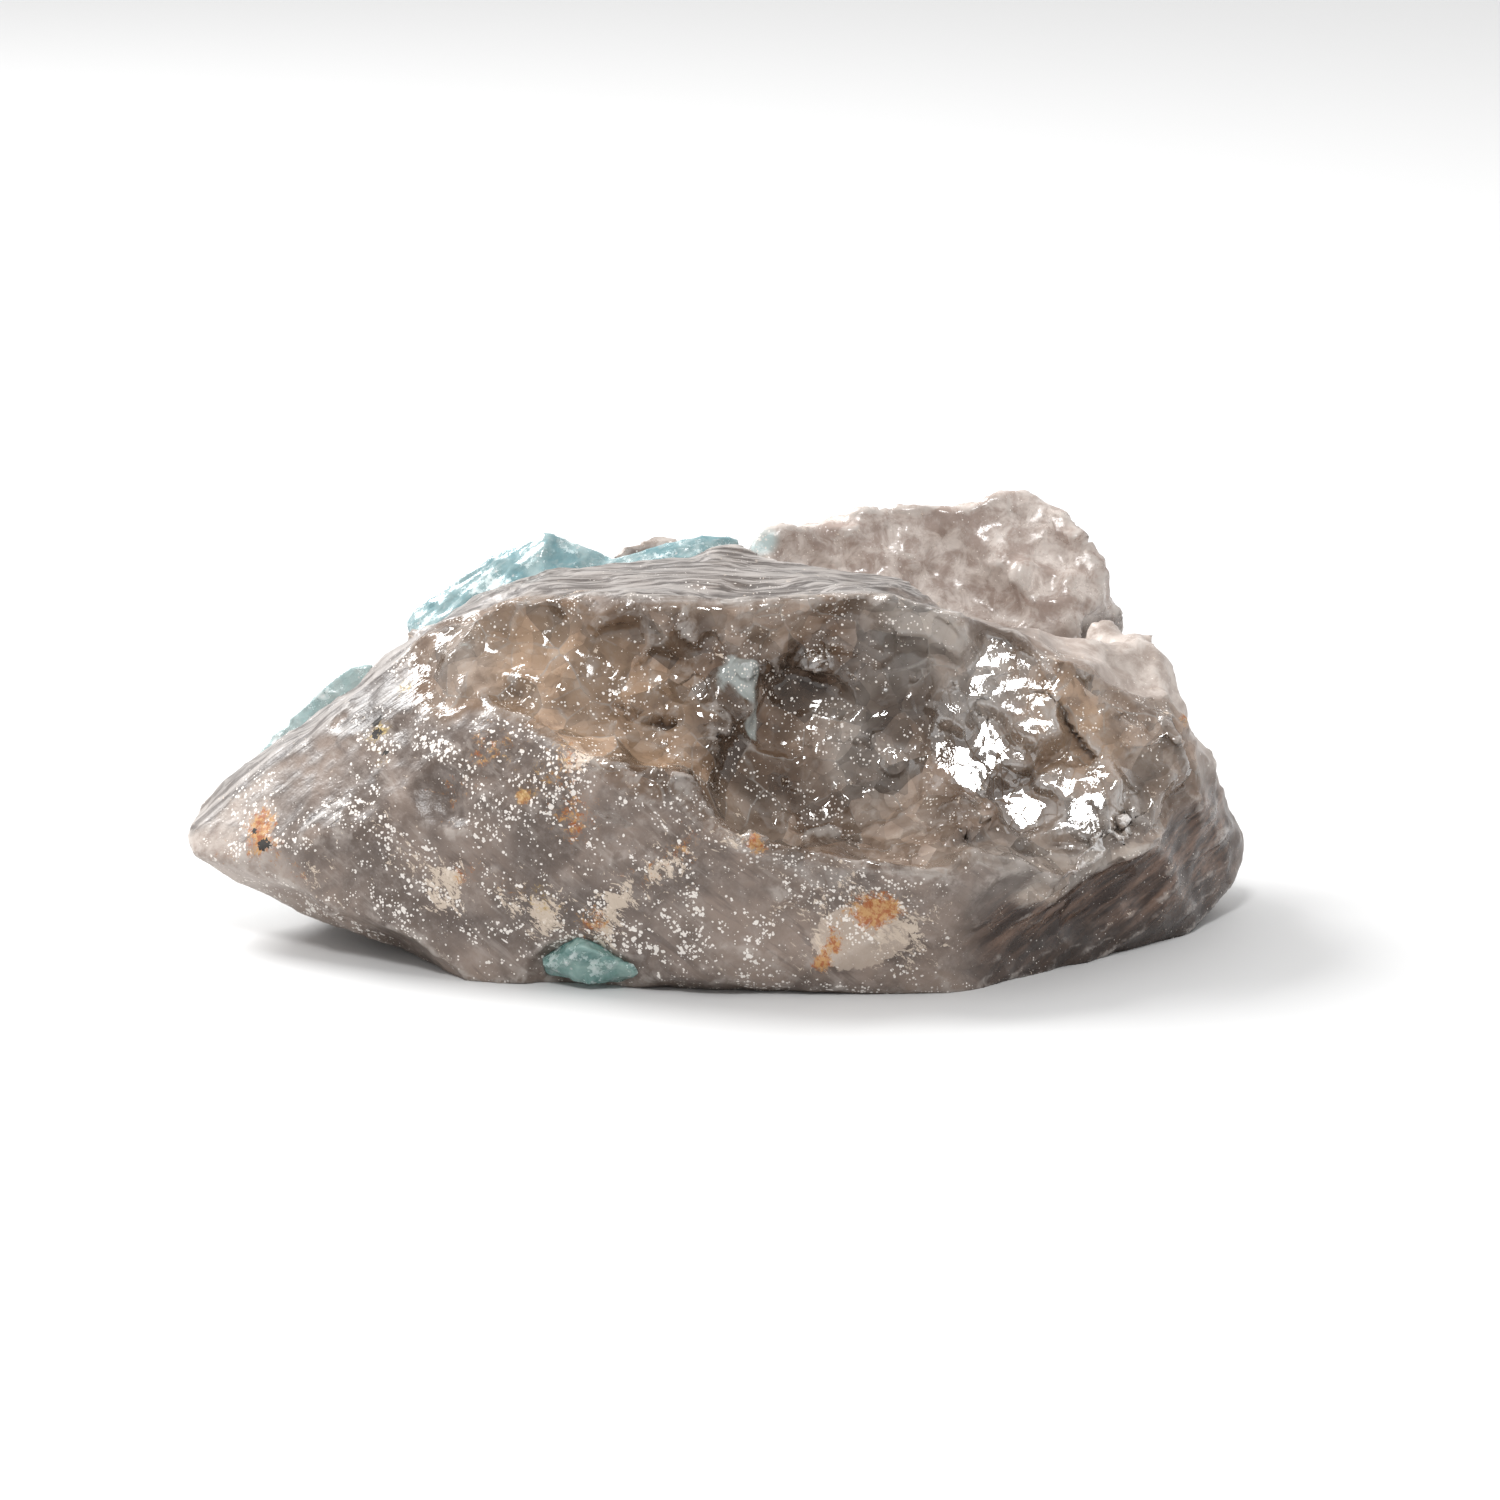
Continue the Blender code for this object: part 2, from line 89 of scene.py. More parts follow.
# Corners of the blocks that make up the quartz, which is one stone.
FRONT_MASS = (
    # the blunt left tip, which stands off the ground
    (-39.8, -3, 8), (-39, 0, 10), (-38.6, -5, 6.5), (-34, -5, 3.5), (-27.8, -8, 2.2),
    (-35.7, 2, 11.4), (-32.2, -3, 13.5), (-36, 3, 6),
    # the frosted front face and the feet under it
    (-28, -11, 10.5), (-24.7, -12, 3.2), (-19.6, -14.5, 0), (-1, -19, 1.8), (13, -18.5, 1),
    (19, -17.8, 0), (-16, -12.5, 19), (-5.2, -19, 16), (3.4, -21, 13), (14, -21, 10),
    # the right flank
    (21, -19, 8.9), (27.3, -16, 10.7), (34.3, -8, 15), (28.6, -8.5, 0), (36, -1.6, 0),
    (39.4, 3, 2.8), (40.7, 5.5, 5.5), (39.4, 7, 9.2), (37.7, 6, 13), (36, 4, 15.9),
    # the ridge over the hollow, and the flat top behind it
    (-20.2, -5, 24.4), (-15.7, -6, 26.8), (-6.8, -8, 27.9), (1.9, -8, 27.6), (12.6, -9, 28),
    (19.1, -9, 26.8), (25, -10, 23.6), (31.5, -8, 18.5), (-23.8, 3, 22.3), (-18, 4, 25.2),
    (-12, 5, 27.3), (-6, 6, 27), (1, 7, 27.6), (7, 5, 27.2), (14, 3, 26.6),
    # the back, low down
    (-33, 7, 9), (-24, 12, 13), (-8, 17, 18), (12, 20, 17), (28, 18, 14), (37, 11, 9),
    (-29, 8, 2.5), (-20, 13, 0), (-6, 18, 0), (12, 21, 0), (28, 18, 0), (36, 10, 0),
)
KNOLL = (
    (-2.5, 5, 27.2), (-0.2, 6, 28.5), (1.4, 6.5, 28.7), (4, 5.5, 28), (7.5, 4, 27.3), (0, 1, 27.4),
    (-1, 9, 27.2), (4, 9.5, 27.3), (-1, 8, 20), (5, 8, 20), (2, 1, 20),
)
BACK_RIM = (
    (-9.7, 12.5, 26.4), (-7.8, 13, 27), (-4.4, 13.5, 27.6), (-2.8, 13.5, 27.8), (-0.6, 13.5, 27.4),
    (3, 14, 26.4), (-10, 17, 20), (3, 18, 21), (-9, 18, 6), (4, 19, 6), (-9, 10, 20), (3, 10, 20),
)
BACK_SHELF = (
    (2.4, 11, 27.6), (3.6, 13, 28.5), (6.5, 14, 29.1), (10.4, 15, 29.9), (12, 16, 29.7), (19, 16, 29.5),
    (22, 17, 29.3), (5, 9, 20), (20, 9, 20), (4, 19, 22), (12, 22, 24), (22, 22, 24), (8, 24, 8),
    (20, 24, 5), (0, 18, 10),
)
BACK_PEAK = (
    (19.2, 15, 29.3), (22.1, 17, 30.8), (24.2, 17, 30.6), (27.3, 16, 29), (29.4, 14, 25.4),
    (31.5, 13, 22.3), (20, 10, 20), (29, 9.5, 20), (21, 22, 26), (25.5, 22, 26), (31, 19, 19),
    (20, 24, 5), (31, 21, 6),
)
RIGHT_BLOCK = (
    (22.6, 2, 23.4), (30.4, 8, 22.5), (33.5, 5, 22), (34.6, 3, 20.4), (35.8, 1, 18),
    (34.9, -4, 17.4), (31.5, -7.5, 18.5), (25, -9.5, 23.4), (21, -4, 24.5), (20, 6, 8),
    (34, 8, 8), (34, -4, 8),
)

# Fracture scars: a place on the skin, the way out of the stone there, the way the scar runs, its
# half length and half width, and its depth.
HOLLOW = (
    ((9.9, -15.5, 19.8), (0.1, -0.78, 0.62), (1, 0, -0.2), 15.5, 10.2, 7.2),
    ((23.2, -14, 16.8), (0.3, -0.8, 0.5), (1, 0.3, -0.5), 10.5, 8.6, 4.2),
    ((-2.2, -14.2, 21.6), (-0.05, -0.75, 0.66), (1, 0, -0.35), 11, 7.4, 3.8),
    ((-11.8, -10.8, 23.2), (-0.25, -0.73, 0.64), (1, -0.2, -0.55), 10.5, 4.4, 2),
    ((31.2, -9.8, 15.2), (0.6, -0.65, 0.42), (0.6, 0.8, -0.6), 5, 3.5, 0.8),
)
PLATE = (
    # the left half of the frosted face, and the dip to the right of its crease
    ((-19.6, -13.2, 14), (-0.36, -0.9, 0.24), (0.7, -0.1, -0.7), 14.5, 11.5, 1.25),
    ((-6.5, -18, 12.5), (-0.2, -0.97, 0.1), (1, -0.3, -0.5), 10, 5, 0.7),
    ((5, -20.1, 8), (0, -0.99, -0.1), (1, 0, -0.2), 9, 5.5, 0.8),
    # the dark face at the lower right, which lies behind the ledge at the end of the frosted one
    ((28.5, -12.2, 4.6), (0.62, -0.7, -0.3), (1, 0.9, 0.45), 14, 5.6, 2.3),
    ((19.6, -18.2, 4.2), (0.5, -0.82, -0.25), (1, 0.6, 0.6), 7, 4.6, 1.5),
    ((23, -15.5, 1.5), (0.5, -0.7, -0.5), (1, 0.7, 0), 6, 3, 1.2),
    ((36.6, -3, 5), (0.85, -0.5, -0.1), (0.5, 0.8, 0.3), 6, 4, 1),
    # the facets of the blunt right end
    ((35.2, -5.2, 11.2), (0.82, -0.55, -0.05), (0, 0.1, 1), 6, 3, 0.8),
    ((38.2, 0.5, 11.5), (0.95, -0.25, 0.1), (0.1, 0.1, 1), 5.5, 2.6, 0.7),
    ((40.2, 4.5, 8.5), (0.97, -0.1, 0.1), (0, 0.3, 1), 4, 2.4, 0.5),
    ((34.2, -5.4, 15.4), (0.75, -0.5, 0.45), (0.5, 0.5, -0.6), 4, 2.2, 0.5),
    # under the tip, and the arch under the front face
    ((-33, -6, 4.2), (-0.4, -0.5, -0.8), (1, -0.3, -0.3), 8, 4, 1),
    ((-24.5, -10.5, 2.2), (-0.4, -0.6, -0.7), (1, -0.5, -0.4), 5, 3, 0.8),
    ((-9.2, -17.4, 2.2), (-0.2, -0.8, -0.6), (1, -0.25, 0.05), 5, 3.2, 1.5),
    ((6, -19.2, 0.9), (0, -0.8, -0.6), (1, 0, -0.05), 5, 2.2, 0.6),
    # the frosted bevel over the tip
    ((-31, 0.6, 15.9), (-0.5, 0, 0.85), (1, 0, 0.9), 6.5, 2.4, 0.5),
    ((-25.5, -5.5, 19.5), (-0.5, -0.5, 0.7), (1, 0, 0.9), 8, 4, 0.6),
)
TOP = (
    # the flat strip over the hollow, its left shoulder, and its fall to the right
    ((1, -3.2, 27.8), (0, 0.08, 1), (1, 0, 0), 17, 4.6, 0.75),
    ((-15.5, -1.5, 26.2), (-0.3, 0, 0.95), (1, 0, 0.4), 7, 4, 0.5),
    ((16.5, -3.5, 26.9), (0.25, 0, 0.97), (1, -0.3, -0.25), 9, 4.5, 0.9),
    # the right block's pale steps
    ((28.5, -3.5, 22), (0.45, -0.25, 0.85), (1, 0.3, -0.5), 5, 3, 0.5),
    ((26, 4.5, 23.2), (0, -0.1, 1), (1, 0.2, -0.1), 6, 3, 0.7),
    ((34.6, -1, 19), (0.9, -0.2, 0.4), (0, 1, -0.1), 4, 2.2, 0.4),
    # the back lump's front, left to right
    ((5.5, 10.8, 26.6), (-0.3, -0.7, 0.7), (1, 0.3, 0.3), 4, 2.4, 0.7),
    ((9.5, 12.2, 27.2), (0.1, -0.75, 0.65), (1, 0.2, -0.2), 4.5, 2.8, 0.8),
    ((15.5, 13.6, 27), (0.15, -0.8, 0.6), (1, 0.1, 0.4), 5.5, 3.5, 1.1),
    ((14, 11.5, 24.9), (0.1, -0.75, 0.65), (1, 0, -0.2), 5, 2.4, 0.7),
    ((20.5, 12.8, 25), (-0.1, -0.85, 0.5), (0.3, 0, 1), 4.5, 3, 0.9),
    ((25.5, 13.6, 26.4), (0.15, -0.78, 0.6), (0.5, 0, -1), 4.5, 2.8, 0.8),
    ((29.2, 12.4, 23.6), (0.5, -0.6, 0.6), (0.4, 0, -1), 3.5, 2.2, 0.5),
    ((16.5, 17, 29.9), (0, 0.2, 1), (1, 0, 0), 4, 2.4, 0.6),
)
BACK = (
    ((-22, 13, 9), (-0.5, 0.8, 0.1), (1, 0.6, 0), 8, 5, 1.2),
    ((-30, 7, 5), (-0.8, 0.5, -0.1), (0.4, 0.8, 0), 6, 4, 0.8),
    ((-5, 18, 10), (-0.2, 0.95, 0.2), (1, 0.1, 0.5), 10, 7, 1.8),
    ((8, 20.5, 12), (0.1, 0.95, 0.3), (0.3, 0, 1), 11, 8, 2.2),
    ((20, 21.5, 16), (0.1, 0.9, 0.4), (1, 0, -0.6), 9, 6, 1.6),
    ((27, 19.5, 8), (0.4, 0.9, 0), (0.8, -0.4, 1), 9, 6, 1.6),
    ((35, 12, 9), (0.75, 0.65, 0.1), (0.5, -0.6, 0.6), 8, 6, 1.4),
    ((38.5, 6, 12), (0.9, 0.2, 0.4), (0.2, 1, 0.2), 4, 3, 0.6),
    ((-12, 15, 5), (-0.4, 0.9, -0.1), (1, 0.4, -0.2), 7, 4, 1),
    ((14, 21, 3), (0, 0.95, -0.2), (1, 0, 0.1), 8, 4, 1),
    ((12, 19.5, 24.5), (-0.1, 0.75, 0.65), (1, 0, 0.1), 7, 4, 1),
    ((24, 20.2, 28.2), (0.2, 0.75, 0.6), (1, 0, -0.6), 5, 3.2, 0.7),
    ((31.2, 15.5, 21.6), (0.75, 0.4, 0.5), (0.3, 0.6, -0.8), 6, 3.6, 0.6),
    ((34, 9, 17), (0.6, 0.4, 0.7), (1, -0.8, -0.4), 5, 4, 0.9),
)

# Corners of the crystals. The upper one is two crystals grown together.
LOWER_CRYSTAL = (
    (-35.6, 4.6, 11.2), (-34.6, 5, 12.7), (-32.9, 5, 14.6), (-29.7, 5.2, 17.5), (-28.7, 5.5, 18.4),
    (-27.6, 5.5, 19.1), (-26.1, 5.6, 19.4), (-34.3, 8.2, 8.8), (-30.2, 9.6, 11.8), (-25.8, 10.2, 15.2),
    (-33, 9, 5.8), (-25.3, 11, 10.9), (-34, 3.6, 7.6), (-26, 4, 14), (-31, 4.6, 4.8), (-24.9, 6, 9.6),
)
HILL_CRYSTAL = (
    (-23.4, 8, 22.1), (-22.9, 8, 22.9), (-21.7, 8, 23.75), (-19.9, 8, 25.1), (-17.8, 8, 26.4),
    (-16.3, 8, 27.5), (-14.6, 8, 28.3), (-13, 8, 29.05), (-12, 8, 28.8), (-9.6, 8.2, 27.7),
    (-7.2, 8.4, 26.7), (-22, 5.2, 21), (-13, 5.4, 26.4), (-8.5, 5.6, 25.4), (-21.6, 11.5, 17.5),
    (-13, 13.5, 23.5), (-8.6, 12, 24.6), (-20.6, 13.8, 12.5), (-10, 16, 18), (-21.5, 6, 15), (-12, 7, 18),
    (-18, 9, 11.5), (-9, 10, 16.5),
)
CREST_CRYSTAL = (
    (-8.6, 7.6, 26.9), (-6.5, 8, 27.15), (-4.5, 8.4, 27.6), (-3, 8.6, 28.2), (-1, 8.8, 28.65),
    (0.4, 9, 28.6), (1.6, 9.4, 28.1), (-7.5, 5.8, 25.8), (-1.5, 6.4, 26.6), (-8, 7, 22), (1, 7.5, 23),
    (-8, 11.4, 23), (1.4, 11, 24), (-6.5, 11, 26.4), (0, 11, 27.2),
)
BASE_CRYSTAL = (
    (-12.3, -16.4, 2.2), (-9.8, -18.1, 4.1), (-8.4, -18.2, 3.6), (-5.4, -17.4, 1.9), (-9, -17.3, 1.1),
    (-12, -15.4, 1.2), (-6, -15.6, 0.9), (-12, -6, 1.4), (-6.5, -6, 1.2), (-12, -7, 4.6), (-6.5, -7, 4.2),
    (-9.5, -7, 6),
)
CRYSTALS = {
    "aquamarine_lower": (LOWER_CRYSTAL,),
    "aquamarine_upper": (HILL_CRYSTAL, CREST_CRYSTAL),
    "aquamarine_base": (BASE_CRYSTAL,),
}


def new_object(name, mesh):
    obj = bpy.data.objects.new(name, mesh)
    bpy.context.scene.collection.objects.link(obj)
    return obj


def finished(name, shape):
    """An object made of the bmesh, which is freed."""
    mesh = bpy.data.meshes.new(name)
    shape.to_mesh(mesh)
    shape.free()
    return new_object(name, mesh)


def block(name, corners):
    """The convex solid that stretches over the corners."""
    shape = bmesh.new()
    for corner in corners:
        shape.verts.new(Vector(corner) * MM)
    bmesh.ops.convex_hull(shape, input=shape.verts, use_existing_faces=False)
    loose = [vert for vert in shape.verts if not vert.link_faces]
    bmesh.ops.delete(shape, geom=loose, context="VERTS")
    bmesh.ops.recalc_face_normals(shape, faces=shape.faces)
    return finished(name, shape)


def with_modifier(obj, kind, **settings):
    """Gives the object a modifier and applies it."""
    modifier = obj.modifiers.new(kind.title(), kind)
    for setting, value in settings.items():
        setattr(modifier, setting, value)
    graph = bpy.context.evaluated_depsgraph_get()
    made = bpy.data.meshes.new_from_object(obj.evaluated_get(graph))
    obj.modifiers.clear()
    obj.data = made


def combined(obj, other, operation, solver="EXACT"):
    """Joins other to the object, or cuts it away, and deletes other."""
    with_modifier(obj, "BOOLEAN", operation=operation, solver=solver, object=other)
    bpy.data.objects.remove(other)
    return obj


def ball_of(place, outward, along, half_length, half_width, depth):
    """The stretched ball that a scar is a cap of: its axes, its centre and its radius."""
    out = Vector(outward).normalized()
    side = out.cross(Vector(along)).normalized()
    radius = (half_width**2 + depth**2) / (2 * depth)
    return side.cross(out), side, out, Vector(place) + out * (radius - depth), radius


def bowl(*scar):
    """The solid that a scar takes away: a cap of a stretched ball, with a lid over the skin."""
    run, side, out, centre, radius = ball_of(*scar)
    half_length, half_width, depth = scar[3:]
    run *= half_length / half_width
    lid = max(radius - depth - max(depth, 1.5), 0)
    steepest = math.acos(lid / radius)
    shape = bmesh.new()
    rings = []
    for i in range(1, RINGS + 1):
        fall = steepest * i / RINGS
        ring = []
        for j in range(SPOKES):
            turn = 2 * math.pi * j / SPOKES
            way = (run * math.cos(turn) + side * math.sin(turn)) * math.sin(fall) - out * math.cos(fall)
            swell = 1 + 0.1 * noise.noise(way * 2.1 + centre)
            ring.append(shape.verts.new((centre + way * radius * swell) * MM))
        rings.append(ring)
    rings.append([shape.verts.new(vert.co + out * 3 * MM) for vert in rings[-1]])
    low = shape.verts.new((centre - out * radius) * MM)
    for j in range(SPOKES):
        after = (j + 1) % SPOKES
        shape.faces.new((low, rings[0][j], rings[0][after]))
        for ring, over in zip(rings, rings[1:]):
            shape.faces.new((ring[j], over[j], over[after], ring[after]))
    shape.faces.new(rings[-1])
    bmesh.ops.recalc_face_normals(shape, faces=shape.faces)
    return finished("bowl", shape)


def scarred(obj, scars):
    for scar in scars:
        combined(obj, bowl(*scar), "DIFFERENCE")


def skin_of(obj):
    """The object's points in millimetres, and the way out of it at each."""
    mesh = obj.data
    points = np.empty(len(mesh.vertices) * 3)
    mesh.vertices.foreach_get("co", points)
    outward = np.empty(len(mesh.vertices) * 3)
    mesh.vertex_normals.foreach_get("vector", outward)
    return points.reshape(-1, 3) / MM, outward.reshape(-1, 3)


def set_points(obj, points):
    obj.data.vertices.foreach_set("co", (points * MM).ravel())
    obj.data.update()


def chip(points, outward, centre, lean, half_width, stretch, depth):
    """Pushes the skin round the centre down into one shallow scar."""
    near = np.linalg.norm(points - centre, axis=1) < half_width
    if not near.any():
        return
    out = Vector(outward[near].mean(axis=0)).normalized()
    out = (out + lean * 0.2).normalized()
    side = out.cross(lean.yzx).normalized()
    facing = points[near & (outward @ np.array(out) > 0.3)]
    if not len(facing):
        return
    middle = facing.mean(axis=0)
    local = (points - middle) @ np.array((side.cross(out) / stretch, side, out)).T
    reach = np.hypot(local[:, 0], local[:, 1]) / half_width
    radius = (half_width**2 + depth**2) / (2 * depth)
    floor = radius - depth - np.sqrt(np.maximum(radius**2 - (reach * half_width) ** 2, 0))
    over = local[:, 2] - floor
    # Skin that stands far over the scar's floor, as a ridge or another side does, is left alone.
    push = np.clip(np.minimum(over, 4 * depth - over), 0, None) * np.clip((1.4 - reach) / 0.3, 0, 1)
    push[outward @ np.array(out) < 0] = 0
    points -= push[:, None] * np.array(out)


def chipped(obj, count, widths, depth_share, where, seed):
    """Makes small scars at random places where the test holds.

    Each scar has dice of its own, so that the mesh's grain doesn't change where the scars are."""
    points, outward = skin_of(obj)
    fit = points[where(points, outward)]
    span = list(zip(fit.min(axis=0), fit.max(axis=0)))
    for i in range(count):
        dice = random.Random(1000 * seed + i)
        aim = np.array([dice.uniform(low, high) for low, high in span])
        centre = fit[np.linalg.norm(fit - aim, axis=1).argmin()]
        lean = Vector([dice.uniform(-1, 1) for _ in range(3)])
        half_width = dice.uniform(*widths)
        depth = half_width * dice.uniform(*depth_share)
        chip(points, outward, centre, lean, half_width, dice.uniform(1, 1.8), depth)
    set_points(obj, points)


def roughened(obj, height, width, seed):
    """Moves the skin in and out by a smooth random height."""
    points, outward = skin_of(obj)
    offset = Vector((seed * 17.3, seed * 5.1, seed * 9.7))
    swell = np.array([noise.noise(Vector(p) / width + offset) for p in points])
    set_points(obj, points + outward * (swell * height)[:, None])


def quartz_mass():
    stone = block("quartz", FRONT_MASS)
    for corners in (KNOLL, BACK_RIM, BACK_SHELF, BACK_PEAK, RIGHT_BLOCK):
        combined(stone, block("lump", corners), "UNION")
    return stone


def in_hollow(points, outward):
    x, y, z = points.T
    return (outward[:, 1] < -0.1) & (abs(x - 7) < 24) & (z > 9) & (z < 25) & (y > -16.5 + 0.2 * abs(x - 9))


def on_back(points, outward):
    return (outward[:, 1] > 0.35) & (points[:, 1] > 6) & (points[:, 2] < 22)


def on_lump(points, outward):
    return (outward[:, 1] < -0.2) & (points[:, 1] > 9) & (points[:, 2] > 21) & (points[:, 0] > 5)


def on_right(points, outward):
    return (outward[:, 0] > 0.5) & (points[:, 0] > 26)


def anywhere(points, outward):
    return outward[:, 2] > -2


def quartz_stone(grain):
    stone = quartz_mass()
    for scars in (HOLLOW, PLATE, TOP, BACK):
        scarred(stone, scars)
    with_modifier(stone, "REMESH", mode="VOXEL", voxel_size=grain * MM)
    chipped(stone, 30, (1.8, 4), (0.12, 0.2), in_hollow, seed=4)
    chipped(stone, 40, (3, 6), (0.06, 0.13), on_back, seed=7)
    chipped(stone, 14, (1.2, 2.4), (0.12, 0.2), on_lump, seed=2)
    chipped(stone, 16, (1.5, 3), (0.1, 0.16), on_right, seed=5)
    chipped(stone, 40, (1.2, 2.6), (0.05, 0.1), anywhere, seed=3)
    roughened(stone, 0.3, 4, seed=1)
    roughened(stone, 0.12, 1.5, seed=2)
    with_modifier(stone, "REMESH", mode="VOXEL", voxel_size=grain * MM)
    return stone


def swollen(corners, gap):
    """The corners, moved out by the gap all round."""
    steps = (-1, 0, 1)
    ways = [Vector((x, y, z)).normalized() for x in steps for y in steps for z in steps]
    return [Vector(corner) + way * gap for corner in corners for way in ways]


def crystal(name, shapes, gap=0):
    """The crystals of the shapes, grown together; with a gap, the pocket they sit in."""
    made = None
    for corners in shapes:
        grown = block(name, swollen(corners, gap) if gap else corners)
        made = combined(made, grown, "UNION") if made else grown
    return made


# Spots on the stone: a place, a radius and a strength.
# Darker spots: partly the stone's smoky colour, partly painted shade under the hollow's ridge and low down
# near the floor.
DARK_AND_SHADE = (
    ((7.8, -7.9, 23.7), 5, 0.8), ((3.4, -8.8, 18.6), 5, 0.9), ((0, -9, 15), 5, 0.7), ((4, -8, 13), 4, 0.8),
    ((14, -7.5, 18), 4.5, 0.9), ((12, -10, 11), 4, 0.5), ((21, -11.5, 11.5), 4, 1), ((17, -8, 22), 3, 0.6),
    ((-6, -9, 25), 4, 0.5), ((21.7, -14.4, 1.9), 5, 0.6), ((28.6, -9.1, 2.7), 6, 0.6),
    ((-13, -16, 10), 6, 0.5), ((-22, -12, 12), 5, 0.4), ((-6, -18, 6), 6, 0.6), ((-18, -14, 5), 5, 0.5),
    ((3, -20, 6), 5, 0.4),
)
BROWN = (
    ((-14.2, -7.6, 23.6), 6, 1), ((-5.4, -10.9, 19.1), 6, 0.9), ((-9, -10, 20), 5, 0.6),
    ((4, -9, 16), 5, 0.5), ((27, -9.5, 17), 5, 0.9), ((24, -9, 22), 4, 0.5), ((16, 13, 26), 7, 0.3),
    ((-6, 18, 12), 8, 0.4), ((20, 20, 10), 8, 0.4), ((-3, -13, 14), 4, 0.7),
)
HAZE = (
    ((14.7, -7.9, 25.5), 4.5, 1.3), ((11, -8, 17), 4.5, 1.4), ((20, -8, 21), 4, 0.9),
    ((29, -12, 10), 6, 0.9), ((20.7, -17, 8.5), 5, 0.8), ((-18, -7, 22), 4, 0.6),
    ((10, -19, 10), 5, 0.5), ((-2, -17, 13), 4, 0.4),
)
MILK = (
    ((1.6, -8.5, 21.4), 1.9, 1.3), ((2.2, -8.7, 19.4), 1.3, 1.2), ((2.9, -8.8, 17.8), 0.9, 1),
    ((0.9, -8.2, 23.5), 1.4, 0.7), ((-17.5, -6.5, 24.5), 2, 0.6), ((-22, 13, 10), 4, 0.6),
    ((8, 20, 15), 4, 0.5), ((31, -4, 21), 2, 0.5),
)
# Paler spots: partly frost, partly painted light on the tip and the tops that face the light.
PALE_AND_LIT = (
    ((-38, -2, 8.5), 5, 1.1), ((-34, -3, 11), 4, 0.7), ((-32, -7, 6), 4, 0.6), ((32, -1, 20.5), 6.5, 1.2),
    ((26, 3, 23), 5, 0.8), ((22, 16, 28), 9, 1), ((9, 14, 27), 7, 0.9), ((12.6, 9, 25), 3.5, 1.3),
    ((34, 12, 12), 8, 0.4), ((-8, 17, 20), 6, 0.5), ((24, 20, 22), 7, 0.5), ((36, 2, 12), 5, 0.5),
)
RUST = (
    ((-33.5, -7.4, 9.3), 2.2, 1), ((-33.9, -6.6, 10.6), 1.4, 0.8), ((-36, -5.5, 7), 2, 0.5),
    ((-30.5, -9, 6.8), 2, 0.45), ((-23, -5.7, 20.1), 1, 1.5), ((-24.9, -7.6, 17.3), 1.3, 1.4),
    ((-24.1, -9, 15.4), 0.9, 1.2), ((-13.8, -15.6, 14.5), 0.5, 1.7), ((3, -20, 12.1), 1, 1.3),
    ((10.9, -19.5, 6.8), 1.6, 1.4), ((13, -19.4, 7.8), 1.3, 1.5), ((8.6, -19.4, 5.6), 1, 1.1),
    ((8.8, -19.2, 4.4), 0.8, 1.4), ((7.9, -19.3, 3), 0.8, 1.6), ((-15.1, -15.8, 8), 1.5, 0.8),
    ((-12.2, -16.9, 7.2), 1.4, 0.8), ((-8.9, -17.4, 5.8), 1.6, 0.9),
    ((-17.7, -14.9, 8.1), 1.4, 0.9), ((-5.3, -18.8, 9.9), 1.6, 0.8),
    ((-2, -19, 11.5), 1.6, 0.9), ((34.9, -2.6, 17.1), 0.8, 1.2), ((-16, -12.5, 17.5), 2.2, 0.9),
    ((-11, -15, 16.5), 2.6, 0.9), ((-10, -16, 13), 2.2, 0.85), ((-19, -12, 14), 2, 0.7),
    ((3, 20, 8), 2.2, 0.9), ((30, 17, 12), 1.8, 0.9), ((-26, 11, 7), 1.4, 0.9), ((18, 21, 16), 1.2, 0.7),
)
CRUST = (
    ((-20.7, -13.6, 7.8), 1.8, 1), ((-18.4, -14.7, 7.3), 1.8, 1), ((-22.5, -12.5, 9.5), 1.5, 0.7),
    ((-12.2, -16.8, 6), 1.9, 1.1), ((-15.1, -15.8, 7.4), 1.4, 0.9), ((-6.7, -18.1, 7.1), 1.7, 1),
    ((-8, -17.6, 4.5), 1.5, 0.7), ((-5.3, -18.8, 9.9), 1.7, 0.9), ((-2.4, -19.1, 10.8), 1.8, 0.9),
    ((-10, -16.1, 17.4), 1.8, 0.7), ((-24, -11.5, 12), 1.3, 0.8), ((-29, -10, 6.5), 1.6, 0.6),
    ((-28, -9, 10), 1.6, 0.7), ((4, -20, 8), 2, 0.6), ((9, -19.8, 8.4), 2.2, 0.9),
    ((13.5, -19.2, 5.5), 2.6, 1.1), ((7, -19.6, 4.5), 2.2, 0.9), ((-16, 13, 6), 3, 0.7),
    ((12, 20, 5), 3, 0.7), ((33, 12, 6), 3, 0.6), ((1.5, -19.5, 12.6), 1.4, 0.7),
)
GOLD = (
    ((-23, -5.7, 20.1), 2, 1), ((-24.5, -8, 16.8), 2.5, 1), ((-13, -14.5, 16.5), 5, 0.5),
    ((-12, -16.8, 7.5), 4, 0.6),
)
PITS = (
    ((-24.9, -7.5, 17.2), 0.5, 1.5), ((-24.8, -6.8, 18.1), 0.5, 1.5), ((-24.1, -8.8, 16.2), 0.4, 1.3),
    ((-33.4, -7.7, 8.8), 0.6, 1.3), ((-34, -6.4, 9.6), 0.42, 1.2), ((-32.6, -7.9, 8.9), 0.5, 1.2),
    ((-33, -7.5, 10.2), 0.36, 1.1), ((-8.2, -13.4, 18.4), 0.45, 1.3), ((-14, -15.9, 9.1), 0.36, 1.1),
    ((-12.2, -16.6, 8.2), 0.36, 1.1),
)
BLUE_SPOTS = (((3.8, 12.2, 27.7), 1.3, 1), ((2.6, 11.5, 27.8), 1, 0.9), ((-36.8, 3.4, 9.5), 1.5, 0.6))

